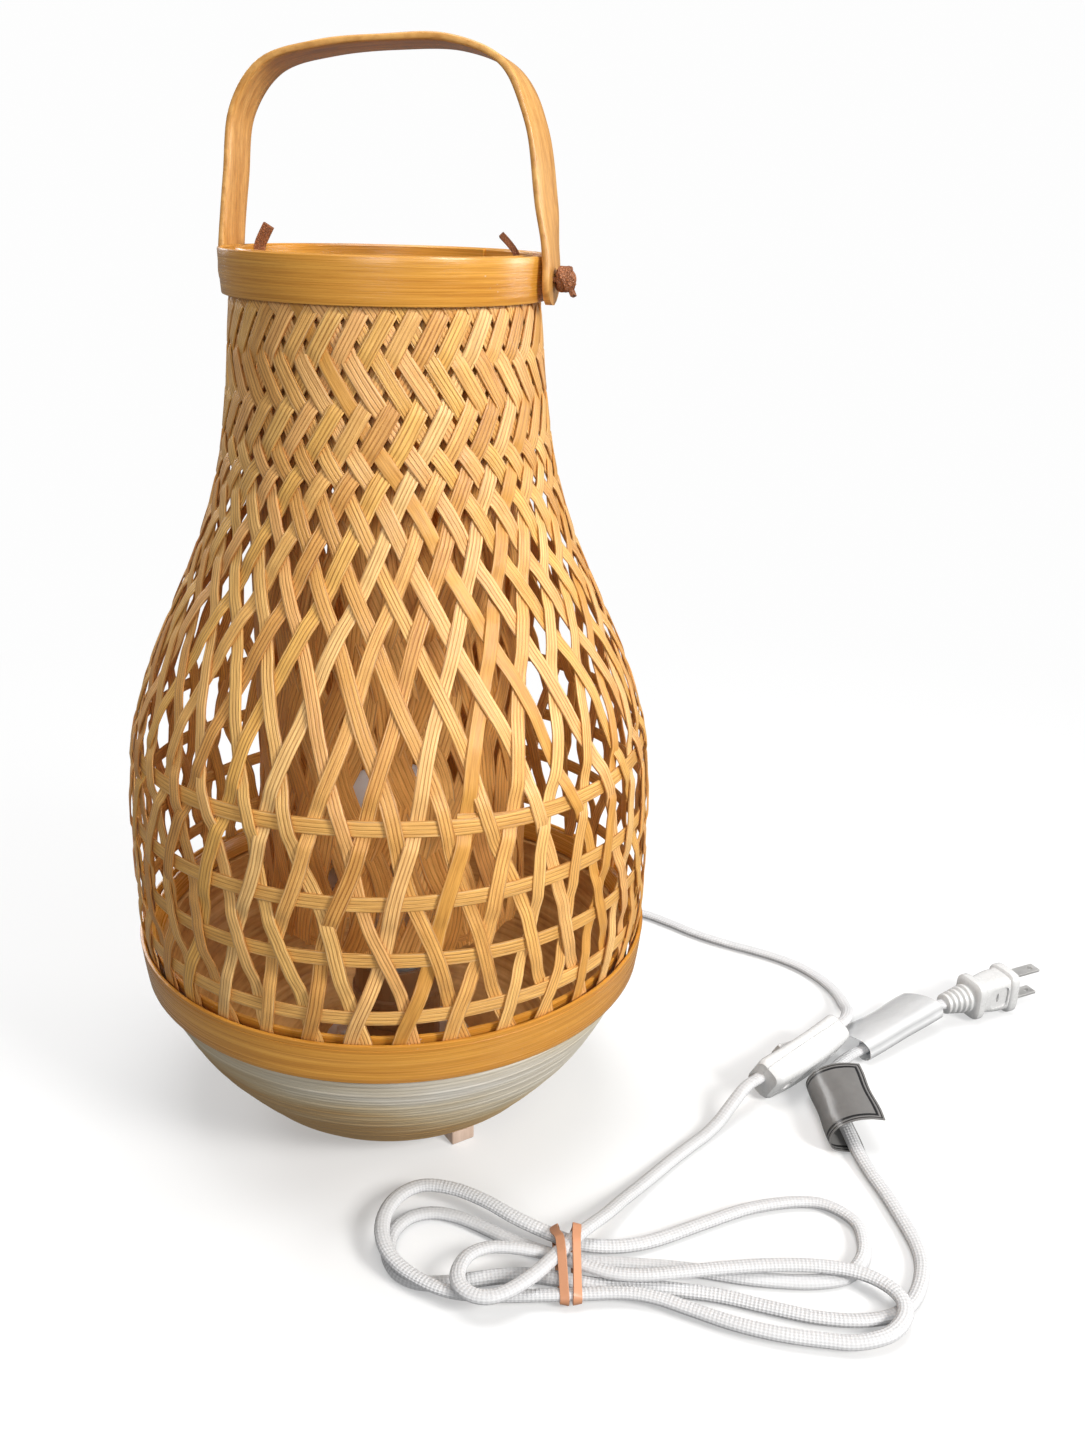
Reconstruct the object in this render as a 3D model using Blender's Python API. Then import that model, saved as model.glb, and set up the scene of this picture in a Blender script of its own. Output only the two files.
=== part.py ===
"""Bamboo lantern table lamp with a swing handle, a coiled bamboo bowl and a bundled mains cord.

Metres, +Z up. The origin is on the floor under the lamp's axis, and X runs along the handle's pivots.
"""

from math import acos, atan2, cos, pi, radians, sin

import bmesh
import bpy
from mathutils import Matrix, Vector

# Driving dimensions, in metres.
GAP = 0.0003  # between neighbours that touch
FACETS = 48  # around the large bamboo rings

BAND_THICK = 0.0019
RIM_TOP = 0.3553
RIM_BOTTOM = 0.3396
RIM_RADIUS_TOP = 0.0600
RIM_RADIUS_BOTTOM = 0.0593
LOWER_TOP = 0.0860
LOWER_BOTTOM = 0.0683
LOWER_RADIUS_TOP = 0.1078
LOWER_RADIUS_BOTTOM = 0.1058
INNER_BAND_FOOT = 0.0774

WEAVE_THICK = 0.0015
# (height, outer radius) of the shade from its tucked foot to its tucked top
WEAVE_OUTLINE = (
    (0.0690, 0.1036),
    (0.0855, 0.1055),
    (0.0940, 0.1066),
    (0.1150, 0.1070),
    (0.1400, 0.1069),
    (0.1680, 0.1047),
    (0.1950, 0.0976),
    (0.2220, 0.0859),
    (0.2500, 0.0734),
    (0.2780, 0.0645),
    (0.3060, 0.0600),
    (0.3250, 0.0582),
    (0.3390, 0.0570),
    (0.3530, 0.0570),
)
HOOP_TOPS = (0.1740, 0.1470, 0.1236, 0.1001)
HOOP_WIDTH = 0.0058
HOOP_THICK = 0.0008
SLEEVE_FOOT = 0.0920
SLEEVE_TOP = 0.3400
SLEEVE_RADIUS_FOOT = 0.0555
SLEEVE_RADIUS_TOP = 0.0530
SLEEVE_THICK = 0.0013

# (height, outer radius) of the coiled bowl, from its flat underside up
BOWL_OUTLINE = (
    (0.0072, 0.0570),
    (0.0085, 0.0630),
    (0.0125, 0.0680),
    (0.0180, 0.0730),
    (0.0260, 0.0798),
    (0.0380, 0.0889),
    (0.0520, 0.0965),
    (0.0600, 0.1000),
    (0.0680, 0.1016),
    (0.0768, 0.1019),
)
BOWL_WALL = 0.0046
BOWL_FLOOR = 0.0120
FOOT_COUNT = 3
FOOT_FIRST_ANGLE = radians(-43)
FOOT_OUTER_RADIUS = 0.0612
FOOT_LENGTH = 0.0180
FOOT_WIDTH = 0.0106

PIVOT_HEIGHT = 0.3475
HANDLE_WIDTH = 0.0176
HANDLE_THICK = 0.0024
HANDLE_LEAN = radians(5)
# (X, height) along the outer face of the upright handle, from one leg's end over the top to the other's
HANDLE_OUTLINE = (
    (0.0636, 0.3387),
    (0.0634, 0.3528),
    (0.0604, 0.3743),
    (0.0558, 0.3982),
    (0.0452, 0.4170),
    (0.0248, 0.4250),
    (0.0000, 0.4252),
    (-0.0242, 0.4232),
    (-0.0457, 0.4173),
    (-0.0578, 0.4015),
    (-0.0607, 0.3792),
    (-0.0629, 0.3574),
    (-0.0636, 0.3387),
)
TIE_HOLE = 0.0034
TIE_WIDTH = 0.0050
TIE_THICK = 0.0020
KNOT_OUT = 0.0686  # X of the right side's outer knot's middle
KNOT_IN = 0.0478  # X of the inner knot's middle

CORD_RADIUS = 0.0028
SWITCH_HEIGHT = 0.0118
SWITCH_ROLL = radians(28)
SWITCH_LENGTH = 0.0560
PLUG_HEIGHT = 0.0114
PLUG_HEADING = radians(40.5)
PLUG_LENGTH = 0.0408  # strain relief, collar, body and flange
BLADE_SPACING = 0.0127
BLADE_WIDTH = 0.00635
BLADE_THICK = 0.0015
BLADE_LENGTH = 0.0180

UP = Vector((0, 0, 1))

FINISHES = {  # colour, roughness, metallic
    "bamboo_gold": ((0.66, 0.40, 0.13), 0.38, 0),
    "bamboo_strip": ((0.74, 0.52, 0.27), 0.50, 0),
    "bamboo_dark": ((0.42, 0.23, 0.09), 0.60, 0),
    "bamboo_white": ((0.60, 0.57, 0.50), 0.55, 0),
    "wood_foot": ((0.62, 0.47, 0.38), 0.65, 0),
    "leather": ((0.24, 0.10, 0.05), 0.60, 0),
    "steel": ((0.62, 0.62, 0.63), 0.35, 1),
    "brass": ((0.78, 0.58, 0.25), 0.30, 1),
    "white_plastic": ((0.86, 0.86, 0.85), 0.35, 0),
    "brown_plastic": ((0.16, 0.08, 0.04), 0.35, 0),
    "opal": ((0.93, 0.93, 0.91), 0.30, 0),
    "cord_textile": ((0.84, 0.84, 0.84), 0.70, 0),
    "rubber_tan": ((0.72, 0.40, 0.26), 0.60, 0),
    "label_film": ((0.45, 0.45, 0.46), 0.35, 0),
}


def clear_scene():
    for thing in list(bpy.data.objects):
        bpy.data.objects.remove(thing, do_unlink=True)


def painted(thing, finish):
    """Gives the object its own material, named after it."""
    colour, roughness, metallic = FINISHES[finish]
    material = bpy.data.materials.new(thing.name)
    material.use_nodes = True
    shader = material.node_tree.nodes["Principled BSDF"]
    shader.inputs["Base Color"].default_value = (*colour, 1)
    shader.inputs["Roughness"].default_value = roughness
    shader.inputs["Metallic"].default_value = metallic
    thing.data.materials.append(material)
    return thing


def made(name, mesh_builder, finish, smooth_below=35):
    """An object from a bmesh, with its faces turned outwards."""
    bmesh.ops.recalc_face_normals(mesh_builder, faces=mesh_builder.faces)
    if mesh_builder.calc_volume(signed=True) < 0:
        bmesh.ops.reverse_faces(mesh_builder, faces=mesh_builder.faces)
    mesh = bpy.data.meshes.new(name)
    mesh_builder.to_mesh(mesh)
    mesh_builder.free()
    mesh.shade_smooth()
    mesh.set_sharp_from_angle(angle=radians(smooth_below))
    thing = bpy.data.objects.new(name, mesh)
    bpy.context.scene.collection.objects.link(thing)
    return painted(thing, finish)


def smooth_run(points, steps):
    """Points along a Catmull-Rom curve through the given ones, with this many steps between each two."""
    points = [Vector(point) for point in points]
    ends = [2 * points[0] - points[1], *points, 2 * points[-1] - points[-2]]
    run = []
    for before, start, end, after in zip(ends, ends[1:], ends[2:], ends[3:]):
        for step in range(steps):
            t = step / steps
            run.append(
                0.5
                * (
                    2 * start
                    + (end - before) * t
                    + (2 * before - 5 * start + 4 * end - after) * t**2
                    + (3 * start - before - 3 * end + after) * t**3
                )
            )
    run.append(points[-1])
    return run


def evenly(run, spacing):
    """The same line with its points at equal distances."""
    lengths = [0]
    for start, end in zip(run, run[1:]):
        lengths.append(lengths[-1] + (end - start).length)
    count = max(2, round(lengths[-1] / spacing))
    even = []
    place = 0
    for step in range(count):
        target = lengths[-1] * step / count
        while lengths[place + 1] < target:
            place += 1
        share = (target - lengths[place]) / (lengths[place + 1] - lengths[place])
        even.append(run[place].lerp(run[place + 1], share))
    return [*even, run[-1]]


def turned(name, outline, finish, facets=FACETS, matrix=None, smooth_below=35):
    """A solid of revolution about Z from a closed (radius, height) outline. A point at radius 0 is a pole."""
    builder = bmesh.new()
    rings = []
    for radius, height in outline:
        if radius < 1e-7:
            rings.append([builder.verts.new((0, 0, height))] * facets)
            continue
        turns = [2 * pi * step / facets for step in range(facets)]
        rings.append([builder.verts.new((radius * cos(a), radius * sin(a), height)) for a in turns])
    for ring, above in zip(rings, rings[1:] + rings[:1]):
        for step in range(facets):
            after = (step + 1) % facets
            corners = [ring[step], ring[after], above[after], above[step]]
            corners = list(dict.fromkeys(corners))
            if len(corners) > 2:
                builder.faces.new(corners)
    if matrix:
        builder.transform(matrix)
    return made(name, builder, finish, smooth_below)


def lofted(name, sections, finish, smooth_below=35, closed_run=False):
    """A solid through sections that have the same number of points."""
    builder = bmesh.new()
    rings = [[builder.verts.new(point) for point in section] for section in sections]
    count = len(rings[0])
    pairs = zip(rings, rings[1:] + rings[:1]) if closed_run else zip(rings, rings[1:])
    for ring, following in pairs:
        for step in range(count):
            after = (step + 1) % count
            builder.faces.new((ring[step], ring[after], following[after], following[step]))
    if not closed_run:
        builder.faces.new(list(reversed(rings[0])))
        builder.faces.new(rings[-1])
    return made(name, builder, finish, smooth_below)


def block(name, size, matrix, finish, bevel=0.0):
    """A box of the given size, its edges rounded by the bevel."""
    builder = bmesh.new()
    bmesh.ops.create_cube(builder, size=1)
    bmesh.ops.scale(builder, vec=size, verts=builder.verts)
    if bevel:
        bmesh.ops.bevel(builder, geom=builder.edges[:], offset=bevel, segments=2, profile=0.5, affect="EDGES")
    builder.transform(matrix)
    return made(name, builder, finish)


def tube(name, run, radius, finish, resolution=2):
    """A round cord along the points, as a bevelled curve with filled caps."""
    curve = bpy.data.curves.new(name, "CURVE")
    curve.dimensions = "3D"
    curve.bevel_depth = radius
    curve.bevel_resolution = resolution
    curve.use_fill_caps = True
    spline = curve.splines.new("POLY")
    spline.points.add(len(run) - 1)
    for place, point in zip(spline.points, run):
        place.co = (*point, 1)
    thing = bpy.data.objects.new(name, curve)
    bpy.context.scene.collection.objects.link(thing)
    return painted(thing, finish)


def cutter(name, radius, start, end):
    """A hidden round bar between two points."""
    start = Vector(start)
    along = Vector(end) - start
    place = Matrix.Translation(start + along / 2) @ along.to_track_quat("Z", "Y").to_matrix().to_4x4()
    builder = bmesh.new()
    bmesh.ops.create_cone(
        builder, cap_ends=True, segments=16, radius1=radius, radius2=radius, depth=along.length, matrix=place
    )
    bar = made(name, builder, "steel")
    bar.hide_render = True
    bar.display_type = "WIRE"
    return bar


def drilled(thing, bars):
    for bar in bars:
        cut = thing.modifiers.new(bar.name, "BOOLEAN")
        cut.operation = "DIFFERENCE"
        cut.solver = "EXACT"
        cut.object = bar
    return thing


def radius_at(outline, height):
    """The outline's radius at a height, on a smooth curve through its points."""
    run = smooth_run([(radius, 0, place) for place, radius in outline], 12)
    for low, high in zip(run, run[1:]):
        if low.z <= height <= high.z:
            return low.lerp(high, (height - low.z) / (high.z - low.z)).x
    return run[-1].x


def ring_band(name, low, high, radius_low, radius_high, thick, finish):
    """A flat strip bent round into a ring, a little conical."""
    outline = (
        (radius_low, low),
        (radius_high, high),
        (radius_high - thick, high),
        (radius_low - thick, low),
    )
    return turned(name, outline, finish)


def bowl():
    inner = [(BOWL_FLOOR, 0.0560)]
    for height, radius in BOWL_OUTLINE[3:]:
        inner.append((height + BOWL_WALL / 3, radius - BOWL_WALL))
    inner[-1] = (BOWL_OUTLINE[-1][0], inner[-1][1])
    outline = [(0, BOWL_OUTLINE[0][0])]
    outline += [(radius, height) for height, radius in BOWL_OUTLINE]
    outline += [(radius, height) for height, radius in reversed(inner)]
    outline.append((0, BOWL_FLOOR))
    return turned("bowl", outline, "bamboo_white")


def feet():
    height = BOWL_OUTLINE[0][0] - GAP
    middle = FOOT_OUTER_RADIUS - FOOT_LENGTH / 2
    for number in range(FOOT_COUNT):
        turn = FOOT_FIRST_ANGLE + 2 * pi * number / FOOT_COUNT
        place = Matrix.Rotation(turn, 4, "Z") @ Matrix.Translation((middle, 0, height / 2))
        size = (FOOT_LENGTH, FOOT_WIDTH, height)
        block(f"foot_{number + 1}", size, place, "wood_foot", bevel=0.0006)


def weave():
    heights = [height for height, radius in WEAVE_OUTLINE]
    run = smooth_run([(radius, 0, height) for height, radius in WEAVE_OUTLINE[1:-2]], 1)
    outer = [(WEAVE_OUTLINE[0][1], heights[0])]
    outer += [(point.x, point.z) for point in run]
    outer += [(radius, height) for height, radius in WEAVE_OUTLINE[-2:]]
    inner = [(radius - WEAVE_THICK, height) for radius, height in reversed(outer)]
    return turned("shade_weave", outer + inner, "bamboo_strip")


def hoops():
    for number, top in enumerate(HOOP_TOPS, 1):
        inset = WEAVE_THICK + 2 * GAP
        low = radius_at(WEAVE_OUTLINE, top - HOOP_WIDTH) - inset
        high = radius_at(WEAVE_OUTLINE, top) - inset
        foot = top - HOOP_WIDTH
        ring_band(f"hoop_{number}", foot, top, low, high, HOOP_THICK, "bamboo_strip")


def bands():
    side = ((1, "right"), (-1, "left"))
    bars = []
    for sign, word in side:
        reach = (sign * 0.045, sign * 0.066)
        bars.append(cutter(f"tie_hole_{word}", TIE_HOLE, *((x, 0, PIVOT_HEIGHT) for x in reach)))
    rim = ring_band(
        "rim_outer_band", RIM_BOTTOM, RIM_TOP, RIM_RADIUS_BOTTOM, RIM_RADIUS_TOP, BAND_THICK, "bamboo_gold"
    )
    inside = WEAVE_OUTLINE[-1][1] - WEAVE_THICK - GAP
    inner_bottom = RIM_BOTTOM - 0.0016
    inner = ring_band("rim_inner_band", inner_bottom, RIM_TOP, inside, inside, BAND_THICK, "bamboo_gold")
    for ring in (rim, inner, bpy.data.objects["shade_weave"]):
        drilled(ring, bars)
    ring_band(
        "lower_outer_band",
        LOWER_BOTTOM,
        LOWER_TOP,
        LOWER_RADIUS_BOTTOM,
        LOWER_RADIUS_TOP,
        BAND_THICK,
        "bamboo_gold",
    )
    foot = radius_at(WEAVE_OUTLINE, INNER_BAND_FOOT) - WEAVE_THICK - 2 * GAP
    top = radius_at(WEAVE_OUTLINE, LOWER_TOP) - WEAVE_THICK - 2 * GAP
    ring_band("lower_inner_band", INNER_BAND_FOOT, LOWER_TOP + 0.0008, foot, top, 0.0022, "bamboo_gold")


def sleeve():
    ring_band(
        "inner_sleeve",
        SLEEVE_FOOT,
        SLEEVE_TOP,
        SLEEVE_RADIUS_FOOT,
        SLEEVE_RADIUS_TOP,
        SLEEVE_THICK,
        "bamboo_dark",
    )


def handle():
    """A flat strip bent into a bail, with round leg ends. It leans a few degrees at rest."""
    run = evenly(smooth_run([(x, 0, z) for x, z in HANDLE_OUTLINE], 6), 0.0058)
    half = HANDLE_WIDTH / 2
    sections = []

    def section(place, inward, reach):
        edge = 0.0004
        return [
            place + Vector((0, -reach, 0)) + inward * edge,
            place + Vector((0, -reach + edge, 0)),
            place + Vector((0, reach - edge, 0)),
            place + Vector((0, reach, 0)) + inward * edge,
            place + Vector((0, reach, 0)) + inward * (HANDLE_THICK - edge),
            place + Vector((0, reach - edge, 0)) + inward * HANDLE_THICK,
            place + Vector((0, -reach + edge, 0)) + inward * HANDLE_THICK,
            place + Vector((0, -reach, 0)) + inward * (HANDLE_THICK - edge),
        ]

    for place, point in enumerate(run):
        along = (run[min(place + 1, len(run) - 1)] - run[max(place - 1, 0)]).normalized()
        inward = Vector((-along.z, 0, along.x))
        below = PIVOT_HEIGHT - point.z
        reach = max(0, half**2 - max(0, below) ** 2) ** 0.5
        sections.append(section(point, inward, max(reach, half / 3)))
    strip = lofted("handle", sections, "bamboo_gold")
    bars = []
    for sign, word in ((1, "right"), (-1, "left")):
        reach = (sign * 0.056, sign * 0.070)
        bars.append(cutter(f"leg_hole_{word}", TIE_HOLE, *((x, 0, PIVOT_HEIGHT) for x in reach)))
    drilled(strip, bars)
    pivot = bpy.data.objects.new("handle_pivot", None)
    bpy.context.scene.collection.objects.link(pivot)
    pivot.location = (0, 0, PIVOT_HEIGHT)
    strip.data.transform(Matrix.Translation((0, 0, -PIVOT_HEIGHT)))
    for bar in bars:
        bar.data.transform(Matrix.Translation((0, 0, -PIVOT_HEIGHT)))
        bar.parent = pivot
    strip.parent = pivot
    pivot.rotation_euler = (-HANDLE_LEAN, 0, 0)


def rounded(half_width, half_height, power=3.0, count=12):
    """Points of a rounded rectangle, as a superellipse."""
    points = []
    for step in range(count):
        turn = 2 * pi * (step + 0.5) / count
        x = half_width * abs(cos(turn)) ** (2 / power) * (1 if cos(turn) > 0 else -1)
        y = half_height * abs(sin(turn)) ** (2 / power) * (1 if sin(turn) > 0 else -1)
        points.append((x, y))
    return points


def tie(sign, word):
    """A leather strip through the rim and the handle: knotted outside on the right and flat on the left,
    and knotted inside with its end standing up."""
    # (X, height above the pivot, half width along Y, half thickness)
    knotted = (
        (KNOT_OUT + 0.0042, -0.0044, 0.0018, 0.0016),
        (KNOT_OUT + 0.0034, -0.0020, 0.0036, 0.0040),
        (KNOT_OUT + 0.0010, -0.0002, 0.0046, 0.0050),
        (KNOT_OUT - 0.0022, 0.0002, 0.0045, 0.0048),
        (KNOT_OUT - 0.0044, 0.0000, 0.0028, 0.0032),
        (KNOT_OUT - 0.0052, 0.0000, TIE_WIDTH / 2, TIE_THICK / 2),
    )
    flat = (
        (0.0657, 0.0000, 0.0030, 0.0036),
        (0.0652, 0.0000, 0.0040, 0.0048),
        (0.0644, 0.0000, 0.0040, 0.0048),
        (0.0640, 0.0000, TIE_WIDTH / 2, TIE_THICK / 2),
    )
    stations = (
        *(knotted if sign > 0 else flat),
        (KNOT_IN + 0.0056, 0.0000, TIE_WIDTH / 2, TIE_THICK / 2),
        (KNOT_IN + 0.0046, 0.0004, 0.0028, 0.0030),
        (KNOT_IN + 0.0026, 0.0012, 0.0042, 0.0042),
        (KNOT_IN + 0.0002, 0.0024, 0.0044, 0.0040),
    )
    sections = []
    for x, height, half_width, half_thick in stations:
        ring = rounded(half_width, half_thick, 2.6)
        sections.append([Vector((sign * x, y, PIVOT_HEIGHT + height + z)) for y, z in ring])
    # the end that stands up turns from along X to along Z
    tail = (
        (0.0482, 0.0064, 0.0028),
        (0.0474, 0.0100, 0.0025),
        (0.0448, 0.0145, 0.0023),
    )
    for x, height, half_width in tail:
        ring = rounded(half_width, TIE_THICK / 2, 2.6)
        sections.append([Vector((sign * (x + z), y, PIVOT_HEIGHT + height + 0.3 * z)) for y, z in ring])
    return lofted(f"leather_tie_{word}", sections, "leather", 60)


def holder():
    """The plate, its screws, and the lamp holder's pieces."""
    plate_low = BOWL_FLOOR + GAP
    plate_high = plate_low + 0.0015
    plate = turned(
        "mount_plate",
        ((0, plate_low), (0.0340, plate_low), (0.0340, plate_high), (0, plate_high)),
        "steel",
        facets=40,
    )
    screw_x = 0.0265
    shank = 0.0019
    for number, x in enumerate((screw_x, -screw_x), 1):
        hole = cutter(f"screw_hole_{number}", shank + GAP, (x, 0, BOWL_FLOOR - 0.0036), (x, 0, 0.016))
        drilled(plate, [hole])
        drilled(bpy.data.objects["bowl"], [hole])
        head = plate_high + GAP
        outline = (
            (0, BOWL_FLOOR - 0.0032),
            (shank, BOWL_FLOOR - 0.0022),
            (shank, head),
            (0.0037, head),
            (0.0036, head + 0.0012),
            (0.0024, head + 0.0021),
            (0, head + 0.0024),
        )
        turned(f"plate_screw_{number}", outline, "steel", 16, Matrix.Translation((x, 0, 0)))
    cap_low = plate_high + GAP
    turned(
        "holder_cap",
        (
            (0, cap_low),
            (0.0150, cap_low),
            (0.0188, cap_low + 0.0035),
            (0.0190, 0.0320),
            (0.0170, 0.0320),
            (0.0170, 0.0185),
            (0, 0.0185),
        ),
        "brown_plastic",
        facets=32,
    )
    turned(
        "holder_skirt",
        (
            (0.0170, 0.0323),
            (0.0190, 0.0323),
            (0.0190, 0.0420),
            (0.0200, 0.0430),
            (0.0200, 0.0460),
            (0.0188, 0.0470),
            (0.0180, 0.0600),
            (0.0160, 0.0600),
            (0.0166, 0.0440),
        ),
        "brown_plastic",
        facets=32,
    )
    turned(
        "holder_insulator",
        ((0, 0.0270), (0.0164, 0.0270), (0.0164, 0.0337), (0, 0.0337)),
        "opal",
        facets=32,
    )
    turned(
        "screw_shell",
        (
            (0.0120, 0.0340),
            (0.0158, 0.0340),
            (0.0158, 0.0347),
            (0.0144, 0.0352),
            (0.0144, 0.0575),
            (0.0136, 0.0575),
            (0.0136, 0.0348),
            (0.0120, 0.0348),
        ),
        "brass",
        facets=32,
    )
    block(
        "centre_contact",
        (0.0100, 0.0050, 0.0012),
        Matrix.Translation((0, 0, 0.0346)),
        "brass",
        bevel=0.0002,
    )


def bulb():
    """An LED bulb with a screw cap. All of it comes out of the holder upwards."""
    contact_low = 0.0355
    turned(
        "bulb_contact",
        (
            (0, contact_low),
            (0.0032, contact_low + 0.0006),
            (0.0045, contact_low + 0.0022),
            (0.0045, 0.0384),
            (0, 0.0384),
        ),
        "brass",
        facets=24,
    )
    crest = 0.0131
    root = 0.0122
    thread = []
    low = 0.0410
    pitch = 0.0036
    for turn in range(5):
        thread.append((root, low + turn * pitch))
        thread.append((crest, low + (turn + 0.5) * pitch))
    outline = [(0, 0.0387), (0.0070, 0.0387), *thread, (crest, 0.0620), (0, 0.0620)]
    turned("bulb_cap", outline, "steel", facets=32)
    neck = 0.0623
    turned(
        "bulb_body",
        (
            (0, neck),
            (0.0135, neck),
            (0.0150, 0.0680),
            (0.0205, 0.0800),
            (0.0275, 0.0930),
            (0.0292, 0.0990),
            (0, 0.0990),
        ),
        "opal",
        facets=32,
    )
    middle = 0.1200
    radius = 0.0300
    wall = 0.0012
    base = 0.0993
    outer_start = acos((middle - base) / radius)
    inner_start = acos((middle - base) / (radius - wall))
    outer = []
    inner = []
    steps = 10
    for step in range(steps + 1):
        share = step / steps
        turn = outer_start + (pi - outer_start) * share
        outer.append((radius * sin(turn), middle - radius * cos(turn)))
        turn = inner_start + (pi - inner_start) * share
        inner.append(((radius - wall) * sin(turn), middle - (radius - wall) * cos(turn)))
    outer[-1] = (0, middle + radius)
    inner[-1] = (0, middle + radius - wall)
    turned("bulb_globe", outer + inner[::-1], "opal", facets=32)


GLAND_HEIGHT = 0.0260
GLAND_SLOPE = atan2(0.0798 - 0.0730, 0.0260 - 0.0180)
GLAND_OUT = Vector((0, cos(GLAND_SLOPE), -sin(GLAND_SLOPE)))
GLAND_FACE = Vector((0, 0.0798, GLAND_HEIGHT))
GLAND_STUB = 0.0085


def gland():
    """The bush that the cord leaves the bowl through, square to the bowl's sloping wall."""
    place = Matrix.Translation(GLAND_FACE) @ GLAND_OUT.to_track_quat("Z", "Y").to_matrix().to_4x4()
    inner_end = -BOWL_WALL - 0.0030
    turned(
        "cord_gland",
        (
            (0, inner_end),
            (0.0042, inner_end),
            (0.0042, 0.0006),
            (0.0068, 0.0008),
            (0.0068, 0.0026),
            (0.0052, 0.0034),
            (0.0036, GLAND_STUB),
            (0, GLAND_STUB),
        ),
        "white_plastic",
        facets=24,
        matrix=place,
    )
    hole = cutter("gland_hole", 0.0045, GLAND_FACE - GLAND_OUT * 0.012, GLAND_FACE + GLAND_OUT * 0.012)
    drilled(bpy.data.objects["bowl"], [hole])
    inside = GLAND_FACE + GLAND_OUT * (inner_end - GAP)
    route = [
        inside,
        inside - GLAND_OUT * 0.006,
        (0, 0.0560, 0.0330),
        (0, 0.0430, 0.0265),
        (0, 0.0310, 0.0228),
        (0, 0.0190 + 2 * GAP, 0.0224),
    ]
    tube("inner_lead", evenly(smooth_run(route, 8), 0.006), CORD_RADIUS - 0.0003, "cord_textile")


# The switch's frame: its middle, its long axis, its rocker's side and its width.
SWITCH_MIDDLE = Vector((0.1768, 0.0479, SWITCH_HEIGHT))
SWITCH_ALONG = Vector((0.513, 0.858, 0)).normalized()
SWITCH_FLAT = UP.cross(SWITCH_ALONG)
SWITCH_OUT = SWITCH_FLAT * cos(SWITCH_ROLL) + UP * sin(SWITCH_ROLL)
SWITCH_WIDE = SWITCH_OUT.cross(SWITCH_ALONG)
SWITCH_FRAME = Matrix(
    (
        (*(v[0] for v in (SWITCH_ALONG, SWITCH_WIDE, SWITCH_OUT)), SWITCH_MIDDLE.x),
        (*(v[1] for v in (SWITCH_ALONG, SWITCH_WIDE, SWITCH_OUT)), SWITCH_MIDDLE.y),
        (*(v[2] for v in (SWITCH_ALONG, SWITCH_WIDE, SWITCH_OUT)), SWITCH_MIDDLE.z),
        (0, 0, 0, 1),
    )
)
SWITCH_HALF = SWITCH_LENGTH / 2


def shell_half(name, depth_end, depth_middle, sign):
    """One half of the switch's case, from the seam outwards."""
    sections = []
    steps = 10
    corner = 0.0032
    for step in range(steps + 1):
        x = -SWITCH_HALF + SWITCH_LENGTH * step / steps
        bulge = 1 - (x / SWITCH_HALF) ** 2
        width = 0.0086 + 0.0012 * bulge
        depth = depth_end + (depth_middle - depth_end) * bulge
        if step in (0, steps):
            width -= 0.0008
            depth -= 0.0008
        low = sign * GAP / 2
        points = [
            (width, low),
            (width, sign * (depth - corner)),
            (width - corner * 0.3, sign * (depth - corner * 0.3)),
            (width - corner, sign * depth),
            (-width + corner, sign * depth),
            (-width + corner * 0.3, sign * (depth - corner * 0.3)),
            (-width, sign * (depth - corner)),
            (-width, low),
        ]
        sections.append([Vector((x, y, z)) for y, z in points])
    half = lofted(name, sections, "white_plastic", 30)
    half.data.transform(SWITCH_FRAME)
    return half


CASE_DEPTH_END = 0.0086
CASE_DEPTH_MIDDLE = 0.0104
ROCKER_AXLE = 0.0016  # above the seam
ROCKER_HALF = 0.0100
ROCKER_TILT = radians(6)


def switch():
    base = shell_half("switch_base", CASE_DEPTH_END, CASE_DEPTH_MIDDLE, -1)
    cover = shell_half("switch_cover", 0.0054, 0.0044, 1)
    well = block(
        "rocker_well",
        (2 * ROCKER_HALF + 0.0016, 0.0086, 0.0120),
        SWITCH_FRAME @ Matrix.Translation((0, 0, 0.0056)),
        "steel",
    )
    well.hide_render = True
    well.display_type = "WIRE"
    drilled(cover, [well])
    sections = []
    steps = 8
    for step in range(steps + 1):
        x = -ROCKER_HALF + 2 * ROCKER_HALF * step / steps
        share = abs(x) / ROCKER_HALF
        top = 0.0034 + 0.0014 * share**2
        low = -0.0010 * (1 - share**2) - 0.0001
        half = 0.0039
        points = [(half, low), (half, top), (-half, top), (-half, low)]
        sections.append([Vector((x, y, z)) for y, z in points])
    rocker = lofted("switch_rocker", sections, "white_plastic", 30)
    axle = bpy.data.objects.new("rocker_axle", None)
    bpy.context.scene.collection.objects.link(axle)
    tipped = Matrix.Rotation(ROCKER_TILT, 4, "Y")
    axle.matrix_world = SWITCH_FRAME @ Matrix.Translation((0, 0, ROCKER_AXLE)) @ tipped
    rocker.parent = axle
    for number, x in enumerate((0.0185, -0.0185), 1):
        share = abs(x) / SWITCH_HALF
        depth = CASE_DEPTH_END + (CASE_DEPTH_MIDDLE - CASE_DEPTH_END) * (1 - share**2)
        hole = cutter(
            f"case_hole_{number}",
            0.0024,
            SWITCH_FRAME @ Vector((x, 0, -depth - 0.002)),
            SWITCH_FRAME @ Vector((x, 0, -depth + 0.0048)),
        )
        drilled(base, [hole])
        outline = (
            (0, -0.0046),
            (0.0012, -0.0042),
            (0.0012, -0.0028),
            (0.0020, -0.0024),
            (0.0020, -0.0012),
            (0, -0.0010),
        )
        place = SWITCH_FRAME @ Matrix.Translation((x, 0, -depth)) @ Matrix.Rotation(pi, 4, "X")
        turned(f"switch_screw_{number}", outline, "steel", 14, place)


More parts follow.
